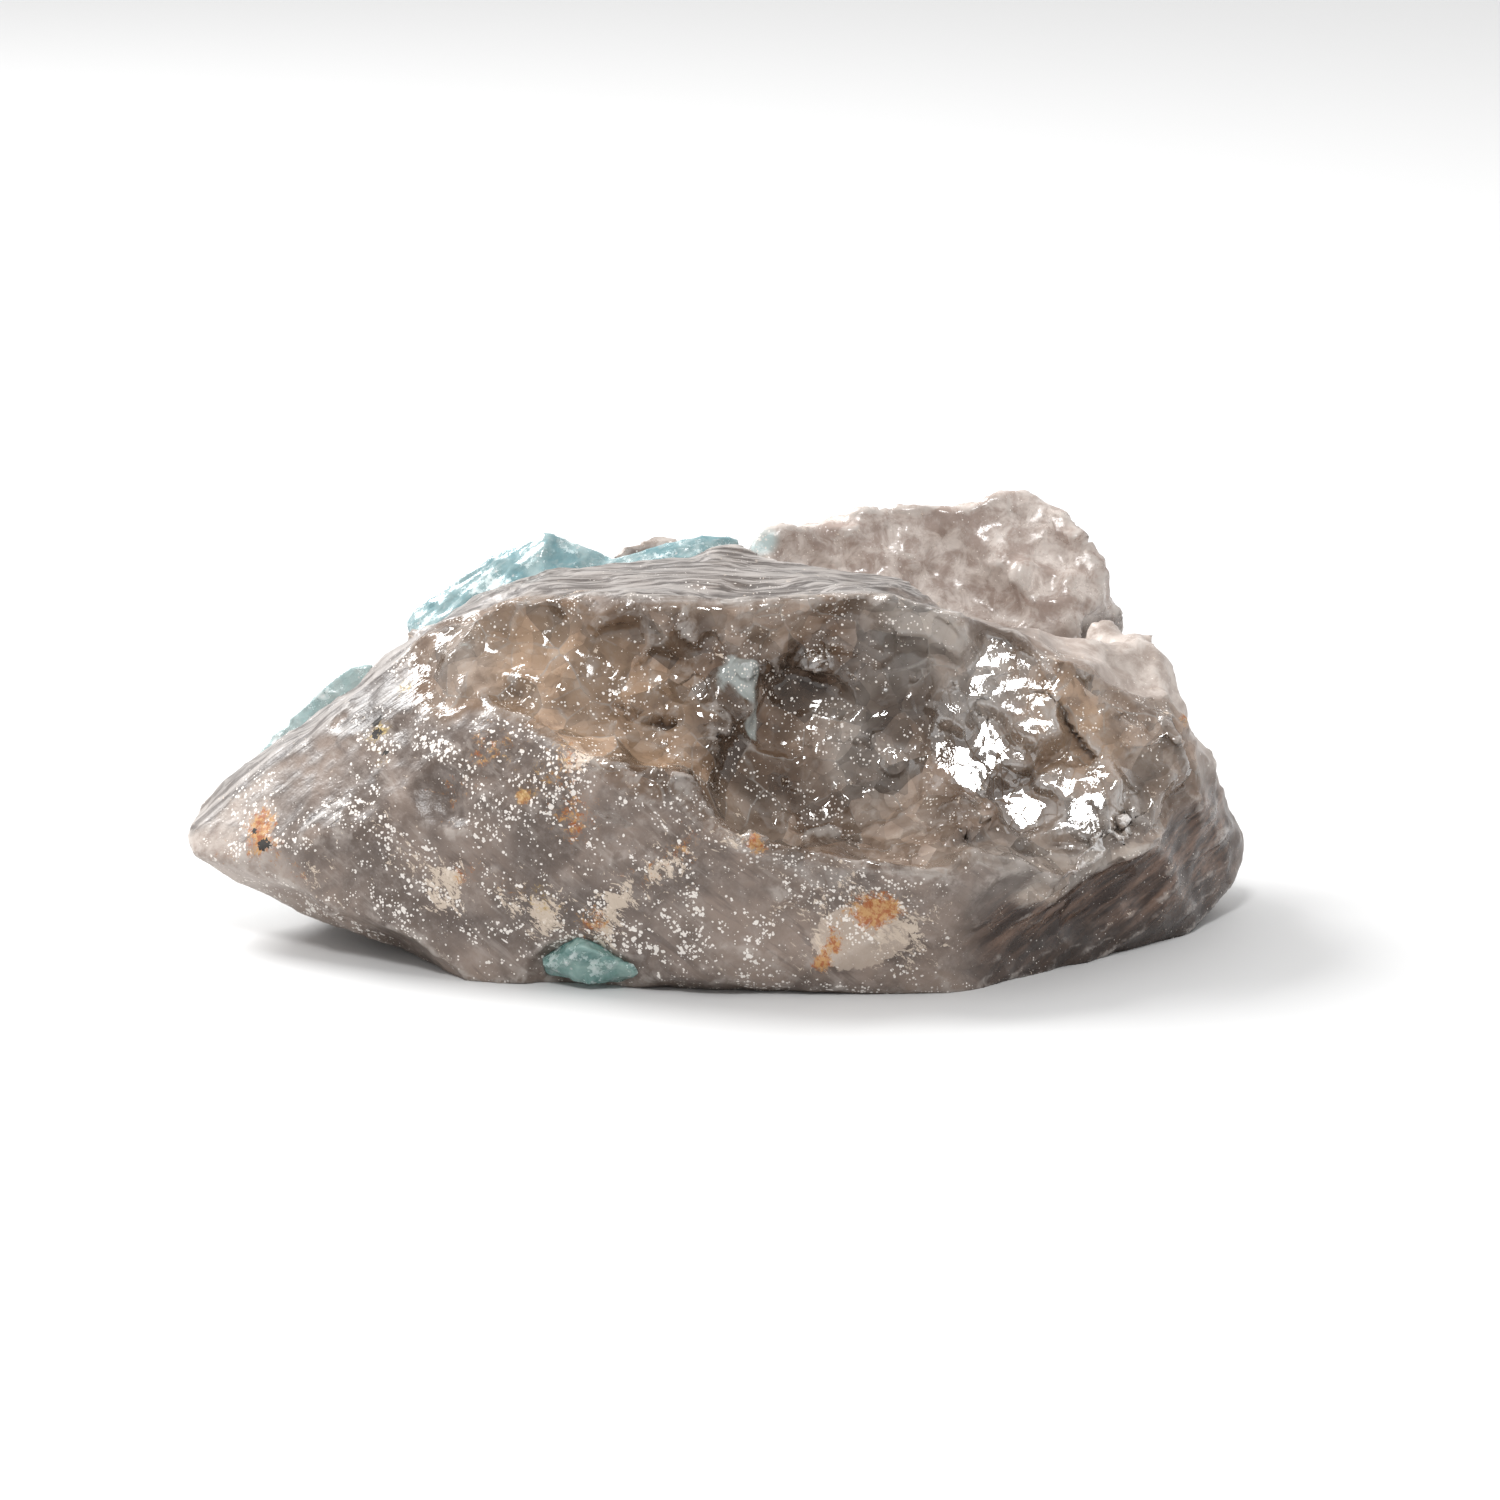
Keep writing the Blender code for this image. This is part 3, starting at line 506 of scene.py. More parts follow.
# Where the hollow's wall is a flat, crinkled mirror: place, the way it faces, and its half width.
MIRRORS = (
    ((21.2, -8.8, 20.4), (-0.098, -0.835, 0.541), 4.6), ((19.6, -9.8, 15.6), (-0.092, -0.836, 0.541), 3.2),
    ((26.8, -10.9, 13.8), (-0.108, -0.83, 0.547), 3.4), ((22.6, -10.4, 12.2), (-0.1, -0.832, 0.545), 2.2),
    ((7.3, -8.3, 22.3), (-0.067, -0.842, 0.535), 1.3), ((2.4, -8.5, 22.5), (-0.055, -0.842, 0.538), 0.8),
    ((9.9, -8.3, 21.6), (-0.067, -0.842, 0.535), 0.9), ((-1.5, -9.5, 21.3), (-0.047, -0.842, 0.538), 0.9),
    ((2.3, -9, 13.6), (-0.055, -0.842, 0.538), 0.9), ((13.2, -8.5, 15.4), (-0.08, -0.838, 0.54), 0.9),
    ((4.9, -9, 12), (-0.06, -0.84, 0.538), 0.7), ((14.8, -11, 8.6), (-0.085, -0.838, 0.54), 0.8),
)


def smooth(value, low, high):
    share = np.clip((value - low) / (high - low), 0, 1)
    return share * share * (3 - 2 * share)


def noise_at(points, width, offset=0.0):
    shift = Vector((offset, -offset, 2 * offset))
    return np.array([noise.noise(Vector(p) / width + shift) for p in points])


def spots(points, places):
    """How strongly the places' spots show at each point."""
    total = np.zeros(len(points))
    for place, radius, strength in places:
        distance = np.linalg.norm(points - np.array(place), axis=1)
        total += strength * np.exp(-((distance / radius) ** 2))
    return total


def edges_of(obj):
    edges = np.empty(len(obj.data.edges) * 2, int)
    obj.data.edges.foreach_get("vertices", edges)
    return edges.reshape(-1, 2)


def spread(points, edges, times):
    """Moves each point to the mean of its neighbours, so many times over."""
    ends = np.concatenate((edges, edges[:, ::-1]))
    count = len(points)
    number = np.bincount(ends[:, 0], minlength=count).astype(float)
    for _ in range(times):
        points = np.stack([np.bincount(ends[:, 0], p[ends[:, 1]], count) / number for p in points.T], 1)
    return points


def ridges(points, outward, edges, times):
    """How far each point stands over its neighbourhood, in millimetres."""
    return ((points - spread(points, edges, times)) * outward).sum(axis=1)


def in_bowls(points, slack=1.3):
    """How surely each point lies on a wall of the glassy hollow, give or take so many millimetres."""
    inside = np.zeros(len(points))
    for scar in HOLLOW:
        run, side, out, centre, radius = ball_of(*scar)
        half_length, half_width, depth = scar[3:]
        stretch = half_length / half_width
        local = (points - np.array(centre)) @ np.array((run / stretch, side, out)).T
        far = np.linalg.norm(local, axis=1)
        ways = local @ np.array((run * stretch, side, out)) / far[:, None]
        swell = np.array([noise.noise(Vector(way) * 2.1 + centre) for way in ways])
        deep = smooth(1 - (local[:, 2] + radius) / depth, 0.3, 0.8)
        near = smooth(radius * (1 + 0.1 * swell) + slack + 2.5 * deep - far, 0, 0.8)
        inside = np.maximum(inside, near * (local[:, 2] < radius * 0.35))
    return inside


def store(obj, **fields):
    for name, values in fields.items():
        layer = obj.data.attributes.new(name, "FLOAT", "POINT")
        layer.data.foreach_set("value", np.clip(values, -2, 2).astype(np.float32))


def fractured(obj, width, depth, where, seed, stretch=(1, 1, 1), flatness=0.0):
    """Breaks the skin into scoops about so wide, which lean their own ways and meet in ridges."""
    points, outward = skin_of(obj)
    share = where(points, outward)
    offset = Vector((seed * 3.7, seed * 8.1, seed * 1.3))
    rise = np.zeros(len(points))
    for i in np.flatnonzero(share > 0.01):
        spot = Vector(points[i] * stretch) / width
        spot += wandering(spot * 0.8 + offset) * 0.35 + offset
        rise[i] = min(scoop(spot, near, flatness) for near in noise.voronoi(spot)[1])
    set_points(obj, points + outward * (share * (rise - 0.15) * depth * width)[:, None])


def wandering(spot):
    """Smooth noise in three directions. The noise module's own vector noise differs from run to run."""
    return Vector([noise.noise(spot + Vector((shift, -shift, 2 * shift))) for shift in (0, 31.7, 63.1)])


def scoop(spot, middle, flatness):
    lean = noise.cell_vector(middle * 57) - Vector((0.5, 0.5, 0.5))
    way = spot - middle
    return (1 - flatness) * way.length_squared + (1.3 + flatness) * lean.dot(way) + 0.3 * lean.x


def flattened(obj):
    """Draws the hollow's wall towards the planes of its mirrors."""
    points, _ = skin_of(obj)
    for place, way, half_width in MIRRORS:
        way = np.array(Vector(way).normalized())
        away = points - np.array(place)
        height = away @ way
        reach = np.linalg.norm(away - np.outer(height, way), axis=1) / half_width
        reach += 0.5 * noise_at(points, 0.7 * half_width)
        share = smooth(1.2 - reach, 0, 0.35) * smooth(1.6 * half_width - abs(height), 0, 2)
        points -= np.outer(share * height * 0.93, way)
    set_points(obj, points)


def striated(obj):
    """Draws the fine parallel lines of the flat top and of the dark face at the lower right."""
    points, outward = skin_of(obj)
    top = on_top(points, outward)
    low = on_low_right(points, outward)
    rise = np.zeros(len(points))
    for i in np.flatnonzero(top + low > 0.01):
        x, y, z = points[i]
        rows = noise.noise(Vector((x / 9, y / 0.55, z / 0.5)))
        streaks = noise.noise(Vector(((x * 0.7 + y * 0.6) / 8, (z - 0.35 * x) / 0.8, 3)))
        rise[i] = top[i] * rows * 0.16 + low[i] * streaks * 0.25
    set_points(obj, points + outward * rise[:, None])


def on_top(points, outward):
    x, y, z = points.T
    return smooth(outward[:, 2], 0.7, 0.9) * smooth(z, 23.5, 26) * smooth(-y, -9, -7)


def on_bevel(points, outward):
    """The frosted slope that runs up over the left end, beside the crystals."""
    facing = outward @ np.array(Vector((-0.55, -0.15, 0.82)).normalized())
    return smooth(facing, 0.8, 0.93) * smooth(-points[:, 0], 9, 15)


def on_low_right(points, outward):
    x, y, z = points.T
    level = z - 0.28 * (x - 20)
    return smooth(x, 17, 21) * smooth(-level, -8.5, -5.5) * smooth(-y, -6, 0)


def on_broken_back(points, outward):
    return smooth(outward[:, 1], 0.2, 0.5) * smooth(points[:, 1], 5, 9)


def on_broken_lump(points, outward):
    x, y, z = points.T
    return smooth(z, 20, 22) * smooth(y, 8, 10) * smooth(x, 3, 6) * smooth(-outward[:, 1], 0, 0.4)


def on_broken_right(points, outward):
    x, y, z = points.T
    return smooth(x, 24, 29) * smooth(z, 8, 12) * (1 - in_bowls(points))


def inside_bowls(points, outward):
    return in_bowls(points, 0.6) * (0.45 + 0.55 * smooth(points[:, 0], -9, -2))


def fine_quartz():
    stone = quartz_stone(GRAIN)
    fractured(stone, 6.5, 0.3, inside_bowls, seed=1, stretch=(1, 1.3, 1.4), flatness=0.35)
    fractured(stone, 3, 0.2, inside_bowls, seed=2, stretch=(1.3, 1, 1), flatness=0.35)
    flattened(stone)
    for seed, width, depth, where in (
        (3, 5, 0.25, on_broken_back), (4, 2.2, 0.15, on_broken_back), (5, 4.2, 0.28, on_broken_lump),
        (6, 2, 0.16, on_broken_lump), (7, 3.6, 0.25, on_broken_right), (8, 1.7, 0.12, on_broken_right),
    ):
        fractured(stone, width, depth, where, seed)
    chipped(stone, 110, (0.5, 1.3), (0.06, 0.12), anywhere, seed=15)
    striated(stone)
    roughened(stone, 0.06, 0.9, seed=5)
    for shapes in CRYSTALS.values():
        combined(stone, crystal("pocket", shapes, POCKET), "DIFFERENCE", "MANIFOLD")
    return stone


def fine_crystal(name, shapes):
    """A crystal with long growth lines on its sides and a few chips."""
    gem = crystal(name, shapes, SWELL)
    with_modifier(gem, "REMESH", mode="VOXEL", voxel_size=0.2 * MM)
    chipped(gem, 16, (0.6, 1.3), (0.05, 0.1), anywhere, seed=21)
    points, outward = skin_of(gem)
    along = np.array((0.79, 0.2, 0.58))
    flat = points - np.outer(points @ along, along)
    lines = np.array([noise.noise(Vector(f) / 0.7 + Vector(p) / 9) for f, p in zip(flat, points)])
    set_points(gem, points + outward * (lines * 0.1)[:, None])
    fractured(gem, 1.8, 0.15, anywhere, seed=9)
    roughened(gem, 0.05, 0.7, seed=6)
    return gem


def settled(obj):
    """Moves the mesh to the frame's place and keeps it inside the solids' box."""
    points, _ = skin_of(obj)
    low, high = (np.array(corner) / MM for corner in CAD_BOX)
    set_points(obj, np.clip(points - np.array(MIDDLE), low, high))


def mark_quartz(obj):
    """Stores, at each point, how glassy, dark, pale, dusty, stained or worn the stone is, and where
    painted shade and painted light go: in recesses, near the floor, and in part of the dark and pale
    spots.
    """
    points, outward = skin_of(obj)
    edges = edges_of(obj)
    x, y, z = points.T
    wander = noise_at(points, 3, 4) * 0.6 + noise_at(points, 1.2, 9) * 0.3
    hollow = np.clip(in_bowls(points) + 0.2 * wander, 0, 1)
    lump = smooth(z, 20, 22) * smooth(y, 8, 10) * smooth(x, 3, 6)
    back = smooth(y, 8, 12) * (1 - lump)
    low = np.clip(on_low_right(points, outward) + 0.15 * wander, 0, 1)
    bare = np.maximum(hollow, np.maximum(0.5 * lump, back * smooth(wander, 0.0, 0.35)))
    sharp = ridges(points, outward, edges, 3)
    broad = ridges(points, outward, edges, 14)
    front = smooth(-outward[:, 1], 0.3, 0.7) * (1 - low) * (1 - lump) * smooth(-x, -20, -12)
    mirror = spots(points, [(place, half_width, 1.3) for place, _, half_width in MIRRORS]) * hollow
    rim = np.clip(1 - 1.5 * abs(2 * hollow - 1), 0, 1) * smooth(z, 7, 10)
    store(
        obj,
        hollow=hollow,
        glassy=np.maximum(bare, 0.5 * low),
        lump=lump,
        low=low,
        mirror=mirror,
        dark=spots(points, DARK_AND_SHADE) * (0.8 + wander),
        brown=spots(points, BROWN),
        haze=spots(points, HAZE) * (0.9 + 0.8 * wander),
        milk=spots(points, MILK) * (0.8 + 1.2 * wander),
        pale=spots(points, PALE_AND_LIT),
        rust=spots(points, RUST) * (0.9 + 1.1 * wander),
        crust=spots(points, CRUST) * (0.8 + 1.3 * wander),
        gold=spots(points, GOLD),
        pit=spots(points, PITS),
        blue=spots(points, BLUE_SPOTS),
        edge=np.clip(sharp / 0.05, 0, 1) * 0.6 + np.clip(broad / 0.5, 0, 1) * 0.5,
        # painted shade: darker where a point lies below its neighbourhood, as in recesses
        hole=np.clip(-broad / 0.6, 0, 1),
        dusty=0.35 + 0.65 * np.maximum(front, 0.8 * hollow),
        strip=on_top(points, outward) * (1 - lump),
        bevel=on_bevel(points, outward),
        # painted shade: darker towards the floor
        foot=smooth(-z, -7, 0),
        rim=rim * smooth(-y, -2, 0) * smooth(-x, -28, -24),
        flake=(1 - np.hypot((x - 10.8) / 5.6, (z - 5.0 - 0.1 * (x - 11)) / 4.0)) * (y < -10),
    )


class Graph:
    """A material's nodes, made one call at a time."""

    def __init__(self, name):
        self.material = bpy.data.materials.new(name)
        self.material.use_nodes = True
        self.tree = self.material.node_tree
        self.shade = self.tree.nodes["Principled BSDF"]
        self.output = self.tree.nodes["Material Output"]
        self.place = self.node("ShaderNodeTexCoord").outputs["Object"]

    def node(self, kind, settings=(), **inputs):
        made = self.tree.nodes.new(kind)
        for name, value in dict(settings).items():
            setattr(made, name, value)
        return self.fill(made, **inputs)

    def fill(self, node, **inputs):
        for name, value in inputs.items():
            self.put(node.inputs[name.replace("_", " ")], value)
        return node

    def put(self, socket, value):
        if isinstance(value, bpy.types.NodeSocket):
            self.tree.links.new(value, socket)
        else:
            socket.default_value = value

    def field(self, name):
        return self.node("ShaderNodeAttribute", {"attribute_name": name}).outputs["Fac"]

    def math(self, operation, a, b=0.0, c=0.0):
        made = self.node("ShaderNodeMath", {"operation": operation})
        for socket, value in zip(made.inputs, (a, b, c)):
            self.put(socket, value)
        return made.outputs[0]

    def product(self, a, b):
        return self.math("MULTIPLY", a, b)

    def total(self, a, b):
        return self.math("ADD", a, b)

    def most(self, a, b):
        return self.math("MAXIMUM", a, b)

    def step(self, value, low, high, to_low=0.0, to_high=1.0):
        made = self.node("ShaderNodeMapRange", {"interpolation_type": "SMOOTHSTEP"}, Value=value)
        return self.fill(made, From_Min=low, From_Max=high, To_Min=to_low, To_Max=to_high).outputs[0]

    def drawn_out(self, lengths, turn=0.0):
        """The place, for a texture drawn out along axes that are turned by so many degrees about Y."""
        made = self.node("ShaderNodeMapping", {"vector_type": "TEXTURE"}, Vector=self.place, Scale=lengths)
        made.inputs["Rotation"].default_value = (0, math.radians(turn), 0)
        return made.outputs[0]

    def noise(self, width, detail=4, roughness=0.6, distortion=0.0, at=None):
        """A cloudy field whose lumps are about so many millimetres wide."""
        made = self.node("ShaderNodeTexNoise", Vector=at or self.place, Scale=1000 / width)
        return self.fill(made, Detail=detail, Roughness=roughness, Distortion=distortion).outputs["Fac"]

    def cells(self, width, feature="F1", at=None, output="Distance"):
        made = self.node("ShaderNodeTexVoronoi", {"feature": feature}, Scale=1000 / width)
        return self.fill(made, Vector=at or self.place).outputs[output]

    def part(self, colour, index=0):
        return self.node("ShaderNodeSeparateColor", Color=colour).outputs[index]

    def warped(self, reach, width):
        """The place, carried off by up to so many metres each way."""
        cloud = self.node("ShaderNodeTexNoise", Vector=self.place, Scale=1000 / width, Detail=1.0)
        made = self.node("ShaderNodeVectorMath", {"operation": "MULTIPLY_ADD"})
        for socket, value in zip(made.inputs, (cloud.outputs["Color"], (reach,) * 3, self.place)):
            self.put(socket, value)
        return made.outputs[0]

    def specks(self, width, amount, wobble=0.0):
        """Round grains, one to a cell: the amount times a random share of the cell in radius."""
        place = self.warped(wobble * width * MM, width / 3) if wobble else self.place
        made = self.node("ShaderNodeTexVoronoi", Vector=place, Scale=1000 / width)
        share = self.part(made.outputs["Color"])
        radius = self.product(self.math("POWER", share, 2.0), amount)
        return self.math("LESS_THAN", made.outputs["Distance"], radius)

    def facets(self, width, place):
        """The height, in cells, of a skin broken into leaning facets, and a number for each."""
        cells = self.node("ShaderNodeTexVoronoi", Vector=place, Scale=1000 / width)
        away = self.node("ShaderNodeVectorMath", {"operation": "SUBTRACT"})
        lean = self.node("ShaderNodeVectorMath", {"operation": "SUBTRACT"})
        rise = self.node("ShaderNodeVectorMath", {"operation": "DOT_PRODUCT"})
        for made, first, second in (
            (away, place, cells.outputs["Position"]),
            (lean, cells.outputs["Color"], (0.5, 0.5, 0.5)),
            (rise, away.outputs[0], lean.outputs[0]),
        ):
            self.put(made.inputs[0], first)
            self.put(made.inputs[1], second)
        return self.product(rise.outputs["Value"], 1000 / width), self.part(cells.outputs["Color"], 1)

    def tone(self, number, low, high):
        return self.math("MULTIPLY_ADD", number, high - low, low)

    def tinted(self, colour, tone):
        made = self.node("ShaderNodeVectorMath", {"operation": "SCALE"})
        self.put(made.inputs[0], colour)
        self.put(made.inputs["Scale"], tone)
        return made.outputs[0]

    def mix(self, share, first, second):
        made = self.node("ShaderNodeMix", {"data_type": "RGBA"})
        for index, value in ((0, share), (6, first), (7, second)):
            self.put(made.inputs[index], (*value, 1) if isinstance(value, tuple) else value)
        return made.outputs[2]

    def cover(self, colour, *layers):
        """Lays colours over the first one, each by its share."""
        for share, over in layers:
            colour = self.mix(share, colour, over)
        return colour

    def blend(self, share, first, second):
        made = self.node("ShaderNodeMix", {"data_type": "FLOAT"})
        for index, value in ((0, share), (2, first), (3, second)):
            self.put(made.inputs[index], value)
        return made.outputs[0]

    def bump(self, height, distance, strength=1.0, normal=None):
        made = self.node("ShaderNodeBump", Height=height, Distance=distance * MM, Strength=strength)
        if normal:
            self.put(made.inputs["Normal"], normal)
        return made.outputs[0]

    def absorb(self, colour, density):
        made = self.node("ShaderNodeVolumeAbsorption", Color=(*colour, 1), Density=density)
        self.tree.links.new(made.outputs[0], self.output.inputs["Volume"])


def quartz_fields(g):
    """The stored fields, and the clouds, facets and lines that parts of the look share: f, below."""
    names = "hollow glassy lump low mirror dark brown haze milk pale rust crust gold pit blue edge hole"
    names += " dusty strip bevel foot rim flake"
    f = SimpleNamespace(**{name: g.field(name) for name in names.split()})
    bent = g.warped(2.2 * MM, 5)
    f.clouds = g.noise(8, 4, 0.62, 0.6)
    f.fine = g.noise(1.8, 4, 0.7, 0.4)
    f.wide_rise, f.wide_number = g.facets(WIDE_FACET, bent)
    f.small_rise, f.small_number = g.facets(SMALL_FACET, g.place)
    f.seams = g.cells(WIDE_FACET, "DISTANCE_TO_EDGE", at=bent)
    rows = g.noise(0.45, 2, 0.7, 0, g.drawn_out((16, 1, 1)))
    slope = g.noise(0.5, 2, 0.7, 0, g.drawn_out((14, 1.4, 1), -38))
    f.stripes = g.blend(f.bevel, rows, slope)
    f.lined = g.most(f.strip, f.bevel)
    return f


def inside_colour(g, f):
    """The smoky hollow: cloudy, with facets of many tones that meet in pale lines. The facets' tones are
    painted light and shade, and the pale lines are partly painted highlight.
    """
    colour = g.cover(
        g.mix(g.step(f.clouds, 0.36, 0.66), (0.16, 0.10, 0.066), (0.38, 0.285, 0.22)),
        (g.step(f.brown, 0.1, 1.1, 0, 0.8), (0.42, 0.28, 0.18)),
        (g.step(f.haze, 0.15, 1.1, 0, 0.8), (0.50, 0.45, 0.405)),
        (g.step(f.fine, 0.5, 0.72, 0, 0.5), (0.53, 0.455, 0.39)),
        (g.step(f.fine, 0.5, 0.3, 0, 0.45), (0.13, 0.077, 0.05)),
        # darker spots: partly smoky colour, partly painted shade
        (g.step(f.dark, 0.15, 1.1, 0, 0.85), (0.085, 0.05, 0.03)),
    )
    # Each facet its own tone: painted light and shade, as each facet would pass or mirror a different
    # light.
    tone = g.product(g.tone(f.wide_number, 0.62, 1.4), g.tone(f.small_number, 0.8, 1.22))
    colour = g.tinted(colour, tone)
    # Pale seams where facets meet: partly pale fracture edges, partly painted highlight on the ridges.
    lines = g.product(g.step(f.seams, 0.0, 0.035, 1, 0), g.step(g.noise(4, 3), 0.48, 0.62, 0, 0.65))
    veils = g.step(g.total(f.milk, g.product(f.fine, 0.8)), 0.85, 1.15, 0, 0.85)
    return g.cover(colour, (lines, (0.47, 0.43, 0.39)), (veils, (0.60, 0.66, 0.64)))


def low_colour(g, f):
    """The dark streaky face at the lower right. Its darkness is partly its smoky colour and partly painted
    shade, as the face turns down, away from the light; near the floor it is darker still by painted shade.
    """
    streaks = g.noise(1.0, 3, 0.75, 0, g.drawn_out((10, 3, 1), -34))
    colour = g.mix(g.step(streaks, 0.4, 0.7), (0.026, 0.011, 0.006), (0.20, 0.12, 0.083))
    # painted shade, darker towards the floor
    return g.mix(g.step(f.foot, 0.2, 1.0, 0, 0.8), colour, (0.016, 0.008, 0.005))


def skin_colour(g, f):
    """The weathered skin: cloudy too, under frost, and with fine lines where the stone is flat."""
    slanted = g.noise(0.9, 3, 0.65, 0, g.drawn_out((9, 2, 1), 38))
    mottle = g.step(f.fine, 0.35, 0.65)
    striping = g.step(f.stripes, 0.38, 0.62)
    flake = g.step(g.total(f.flake, g.product(f.fine, 0.5)), 0.62, 0.65)
    return g.cover(
        g.mix(g.step(g.noise(7, 3, 0.6, 0.4), 0.38, 0.64), (0.105, 0.077, 0.062), (0.25, 0.19, 0.155)),
        (g.step(g.noise(1.0, 3, 0.75), 0.42, 0.72, 0, 0.45), (0.33, 0.28, 0.25)),
        (g.step(slanted, 0.56, 0.72, 0, 0.45), (0.38, 0.335, 0.30)),
        (g.step(slanted, 0.44, 0.3, 0, 0.5), (0.075, 0.053, 0.044)),
        # darker spots: partly smoky colour, partly painted shade
        (g.step(f.dark, 0.1, 1.1, 0, 0.75), (0.075, 0.055, 0.047)),
        (g.step(f.haze, 0.2, 1.1, 0, 0.6), (0.25, 0.22, 0.20)),
        # paler spots: partly frost, partly painted light
        (g.step(f.pale, 0.1, 1.0, 0, 0.85), g.mix(mottle, (0.36, 0.29, 0.25), (0.58, 0.51, 0.46))),
        (g.product(f.lump, 0.75), g.mix(mottle, (0.42, 0.325, 0.28), (0.84, 0.75, 0.69))),
        (g.product(f.low, 0.92), low_colour(g, f)),
        (g.product(f.lined, 0.85), g.mix(striping, (0.045, 0.036, 0.032), (0.31, 0.285, 0.268))),
        (g.product(flake, 0.75), g.mix(f.fine, (0.36, 0.275, 0.21), (0.62, 0.52, 0.44))),
    )


def bare_colour(g, f):
    """The stone without its dust and stains: worn edges are paler, and recesses are a little darker by
    painted shade.
    """
    rim = g.product(f.rim, g.step(f.fine, 0.35, 0.6, 0.1, 0.55))
    worn = g.product(g.step(f.edge, 0.4, 1.0), g.step(f.fine, 0.4, 0.6, 0.0, 0.6))
    return g.cover(
        g.mix(f.hollow, skin_colour(g, f), inside_colour(g, f)),
        (g.step(f.blue, 0.3, 0.9, 0, 0.8), (0.52, 0.66, 0.66)),
        (rim, (0.52, 0.48, 0.45)),
        (worn, (0.52, 0.47, 0.43)),
        # painted shade in the recesses
        (g.step(f.hole, 0.3, 1.0, 0, 0.12), (0.09, 0.06, 0.045)),
    )


def dust(g, f):
    """Where white specks of three sizes lie. The larger ones stay off the hollow's wall."""
    drift = g.step(g.noise(3.6, 4, 0.85, 0.5, g.drawn_out((2, 1.4, 0.9), 40)), 0.39, 0.63)
    amount = g.product(drift, f.dusty)
    fine = g.specks(0.23, g.product(g.step(amount, 0, 1, 0.08, 0.85), g.tone(f.hollow, 1, 0.65)))
    amount = g.product(amount, g.tone(f.hollow, 1, 0.1))
    middling = g.specks(0.55, g.step(amount, 0.1, 1, 0.0, 0.5), 0.3)
    return g.most(g.most(fine, middling), g.specks(2.2, g.step(amount, 0.3, 1, 0.0, 0.26), 0.35))


def with_marks(g, f, colour):
    """Adds dust, cream crust, rust and black pits, and tells where they cover the stone."""
    speck = dust(g, f)
    crumbs = g.noise(0.9, 4, 0.85, 0.8, g.drawn_out((1.5, 1, 0.8), 38))
    cream = g.step(g.total(g.product(f.crust, 0.21), crumbs), 0.655, 0.685)
    stain = g.step(g.total(g.product(f.rust, 0.3), g.noise(0.6, 4, 0.88, 0.5)), 0.68, 0.86)
    pit = g.step(g.total(f.pit, g.product(g.noise(0.4, 2, 0.75), 2.4)), 2.0, 2.1)
    orange = g.mix(g.step(g.noise(0.5, 2, 0.75), 0.38, 0.6), (0.30, 0.075, 0.008), (0.46, 0.25, 0.085))
    olive = g.mix(g.step(crumbs, 0.4, 0.6), (0.16, 0.10, 0.015), (0.50, 0.37, 0.15))
    colour = g.cover(
        colour,
        (g.product(speck, 0.85), (0.80, 0.75, 0.70)),
        (g.product(cream, 0.85), g.mix(crumbs, (0.42, 0.33, 0.25), (0.68, 0.58, 0.48))),
        (g.product(stain, 0.9), g.mix(g.step(f.gold, 0.2, 0.7), orange, olive)),
        (pit, (0.012, 0.008, 0.005)),
    )
    return colour, g.most(g.most(cream, stain), g.most(speck, pit))


def glints(g, f):
    """Where cracks close under the hollow's wall mirror the light: long splinters with seams between."""
    long_cells = g.drawn_out((1, 1, 2.4), -18)
    splinter = g.part(g.cells(SPLINTER, at=long_cells, output="Color"))
    patches = g.total(g.total(f.mirror, g.product(splinter, 1.5)), g.product(g.noise(0.8, 3, 0.8), 0.9))
    seams = g.step(g.cells(SPLINTER, "DISTANCE_TO_EDGE", at=long_cells), 0.02, 0.05)
    return g.product(g.product(g.step(patches, 1.75, 1.8), g.step(f.mirror, 0.1, 0.3)), seams)


def quartz_relief(g, f):
    """Grain on the skin, facets in the hollow, crinkles on its mirrors and the fine lines."""
    broken = g.product(f.glassy, g.step(f.mirror, 0.15, 0.5, 1, 0))
    crinkles = g.noise(1.5, 2, 0.6, 1.5, g.drawn_out((1, 1, 2.2), -15))
    normal = None
    for height, distance, strength in (
        (g.product(g.noise(0.45, 2, 0.75), g.blend(f.glassy, 1.0, 0.2)), 0.07, 0.6),
        (g.product(f.wide_rise, broken), 0.9, 1.0),
        (g.product(f.small_rise, broken), 0.2, 1.0),
        (g.product(crinkles, g.step(f.mirror, 0.1, 0.6)), 0.14, 1.0),
        (g.product(f.stripes, f.lined), 0.14, 0.8),
    ):
        normal = g.bump(height, distance, strength, normal)
    return normal


def quartz_material():
    g = Graph("quartz_look")
    f = quartz_fields(g)
    colour, solid = with_marks(g, f, bare_colour(g, f))
    clear = g.product(g.blend(f.glassy, 0.05, 0.38), g.math("SUBTRACT", 1.0, solid))
    gloss = g.blend(f.glassy, g.step(f.clouds, 0.3, 0.7, 0.3, 0.5), g.step(f.fine, 0.35, 0.7, 0.04, 0.16))
    gloss = g.blend(g.step(f.mirror, 0.2, 0.8), gloss, 0.05)
    g.fill(
        g.shade,
        Base_Color=colour,
        Transmission_Weight=g.product(clear, g.tone(f.low, 1, 0.3)),
        IOR=QUARTZ_IOR,
        Roughness=g.most(gloss, g.product(solid, 0.7)),
        Coat_Weight=glints(g, f),
        Coat_IOR=CRACK_IOR,
        Coat_Roughness=CRACK_ROUGHNESS,
        Normal=quartz_relief(g, f),
    )
    g.absorb((0.66, 0.5, 0.38), 35)
    return g.material


